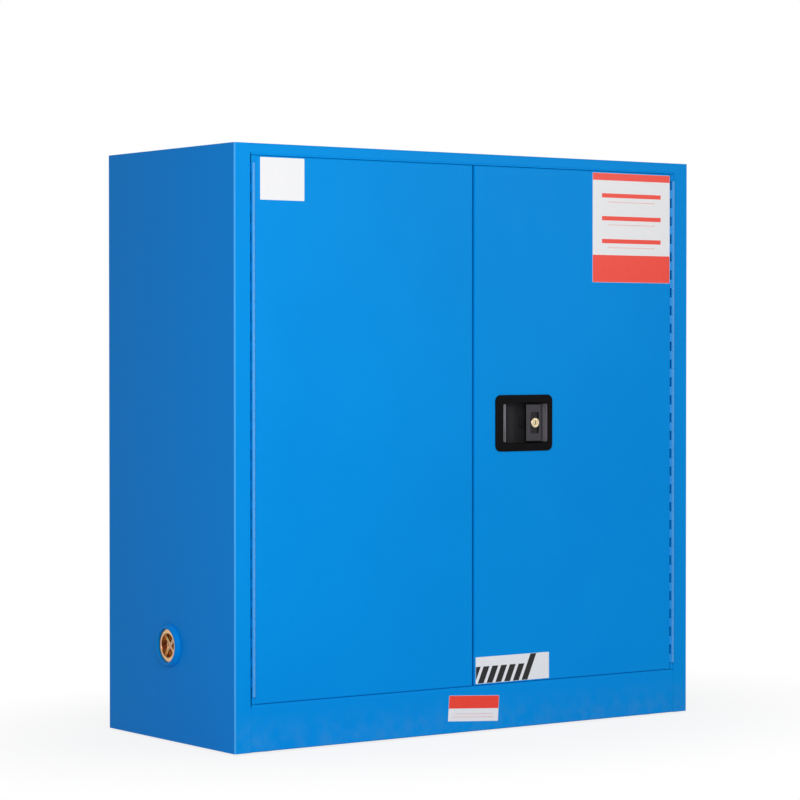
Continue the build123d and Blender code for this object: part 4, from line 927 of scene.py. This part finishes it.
red_blank = red_left, red_low, red_right, red_high = 0.2960, 0.8765, 0.4975, 1.0945
red_foot, red_head, red_edge, red_lines = 0.0545, 0.0145, 0.0004, 3
bar_margin, bar_pitch, bar_rise, bar_deep = 0.024, 0.0455, 0.0095, 0.0085
rule_margin, rule_first, rule_deep = 0.040, 0.014, 0.0016
red_fields = [
    (field(red_left + red_edge, red_low + red_edge, red_right - red_edge, red_low + red_foot), red),
    (field(red_left + red_edge, red_high - red_head, red_right - red_edge, red_high - red_edge), red),
]
for level in spaced(red_low + red_foot + rule_first, bar_pitch, red_lines):
    foot = level + bar_rise
    red_fields += [
        (field(red_left + rule_margin, level, red_right - rule_margin, level + rule_deep), rule),
        (field(red_left + bar_margin, foot, red_right - bar_margin, foot + bar_deep), red),
    ]
label("door_red_blank", "right_door", red_blank, red_fields)

stripe_blank = stripe_left, stripe_low, _, stripe_high = 0.0053, 0.0953, 0.1860, 0.1470
stripe_width, stripe_pitch, stripe_lean, stripe_edge = 0.0145, 0.0215, 0.0144, 0.0006
stripe_first, stripe_rise, stripe_count = 0.0047, 0.0330, 6
stub_rise, stub_reach = 0.0068, 0.0121
stripe_foot, stripe_top = stripe_low + stripe_edge, stripe_low + stripe_rise
stripe_fields = []
for number, foot in enumerate(spaced(stripe_left + stripe_first, stripe_pitch, stripe_count)):
    top, lean, far_foot = stripe_top, stripe_lean, foot + stripe_width
    if number == stripe_count - 1:
        top = stripe_high - stripe_edge
        lean = stripe_lean * (top - stripe_low) / stripe_rise
    stripe_fields.append((
        [(foot, stripe_foot), (far_foot, stripe_foot), (far_foot + lean, top), (foot + lean, top)], black
    ))
stripe_fields.append(([
    (stripe_left + stripe_edge, stripe_foot + stub_rise),
    (stripe_left + stub_reach, stripe_top),
    (stripe_left + stripe_edge, stripe_top),
], black))
label("door_striped_strip", "right_door", stripe_blank, stripe_fields)

plinth_blank = plinth_left, plinth_low, plinth_right, _ = -0.0600, 0.0240, 0.0610, 0.0737
plinth_askew, plinth_fields = -3.6, []
for inset, rise, deep, ink in (
    (red_edge, 0.0247, 0.0246, red), (0.016, 0.0135, 0.0012, rule), (0.010, 0.0075, 0.0012, rule),
):
    low = plinth_low + rise
    plinth_fields.append((field(plinth_left + inset, low, plinth_right - inset, low + deep), ink))
label("plinth_red_blank", "carcass", plinth_blank, plinth_fields, askew=plinth_askew)


# Floor and light: a white studio sweep, one large soft lamp in front on the left, a weaker one on the
# right, and pale light from all round. Seen straight or mirrored, floor and air are white.
seen_rays = ("Is Camera Ray", "Is Glossy Ray", "Is Transmission Ray")
floor_reach, floor_grey, floor_rough = 40.0, (0.86, 0.86, 0.86, 1.0), 0.9
shade_oval, shade_near, shade_far, shade_white = (0.8, 1.15, 1.0), 0.40, 1.05, 0.84
studio_white, ambient_strength = (1.0, 1.0, 1.0, 1.0), 0.42

floor_white = Finish("studio_floor_white", Roughness=floor_rough, Specular_IOR_Level=0.0)
floor_white.feed("Base Color", floor_grey)
floor_glow = floor_white.node("ShaderNodeEmission", {}, {"Color": studio_white, "Strength": 1.0})
floor_seen = sum(floor_white.node("ShaderNodeLightPath", out=ray) for ray in seen_rays)
floor_oval = {"Vector": floor_white.place, "Scale": shade_oval}
floor_oval = floor_white.node("ShaderNodeMapping", {}, floor_oval)
floor_away = floor_white.node("ShaderNodeVectorMath", {"operation": "LENGTH"}, {0: floor_oval}, "Value")
floor_bright = shade_white + floor_away.ease(shade_near, shade_far) * (1.0 - shade_white)
floor_bare = Socket(floor_white, floor_white.shader.outputs[0])
floor_mix = {0: floor_seen * floor_bright, 1: floor_bare, 2: floor_glow}
floor_mix = floor_white.node("ShaderNodeMixShader", {}, floor_mix)
floor_white.feed("Surface", floor_mix, floor_white.material.node_tree.nodes["Material Output"])

floor = loose_mesh("studio_floor", floor_white.material)
floor_corners = [(x * floor_reach, y * floor_reach, 0.0) for x, y in ((-1, -1), (1, -1), (1, 1), (-1, 1))]
floor.data.from_pydata(floor_corners, [], [(0, 1, 2, 3)])

sky = bpy.data.worlds.new("studio_air")
sky.use_nodes = True
bpy.context.scene.world = sky
air = sky.node_tree
rays = air.nodes.new("ShaderNodeLightPath").outputs
seen = rays[seen_rays[0]]
for ray in seen_rays[1:]:
    either = air.nodes.new("ShaderNodeMath")
    either.operation, either.use_clamp = "ADD", True
    air.links.new(seen, either.inputs[0])
    air.links.new(rays[ray], either.inputs[1])
    seen = either.outputs[0]
strength = air.nodes.new("ShaderNodeMapRange")
strength.inputs["To Min"].default_value = ambient_strength
strength.inputs["To Max"].default_value = 1.0
air.links.new(seen, strength.inputs["Value"])
background = air.nodes["Background"]
background.inputs["Color"].default_value = studio_white
air.links.new(strength.outputs["Result"], background.inputs["Strength"])


def soft_lamp(name, place, aim, size, watts):
    """A rectangular lamp at a place, turned towards its aim."""
    lamp = bpy.data.lights.new(name, "AREA")
    lamp.shape = "RECTANGLE"
    lamp.size, lamp.size_y = size
    lamp.energy = watts
    holder = bpy.data.objects.new(name, lamp)
    holder.location = place
    holder.rotation_euler = (Vector(aim) - Vector(place)).to_track_quat("-Z", "Y").to_euler()
    bpy.context.scene.collection.objects.link(holder)


soft_lamp("front_left_lamp", (-1.5, -2.0, 1.15), aim=(-0.45, -0.2, 0.62), size=(1.2, 1.6), watts=29.5)
soft_lamp("front_right_lamp", (2.2, -3.2, 1.5), aim=(0.1, -0.2, 0.75), size=(1.1, 0.8), watts=28.0)

bpy.context.scene.view_settings.view_transform = "Standard"
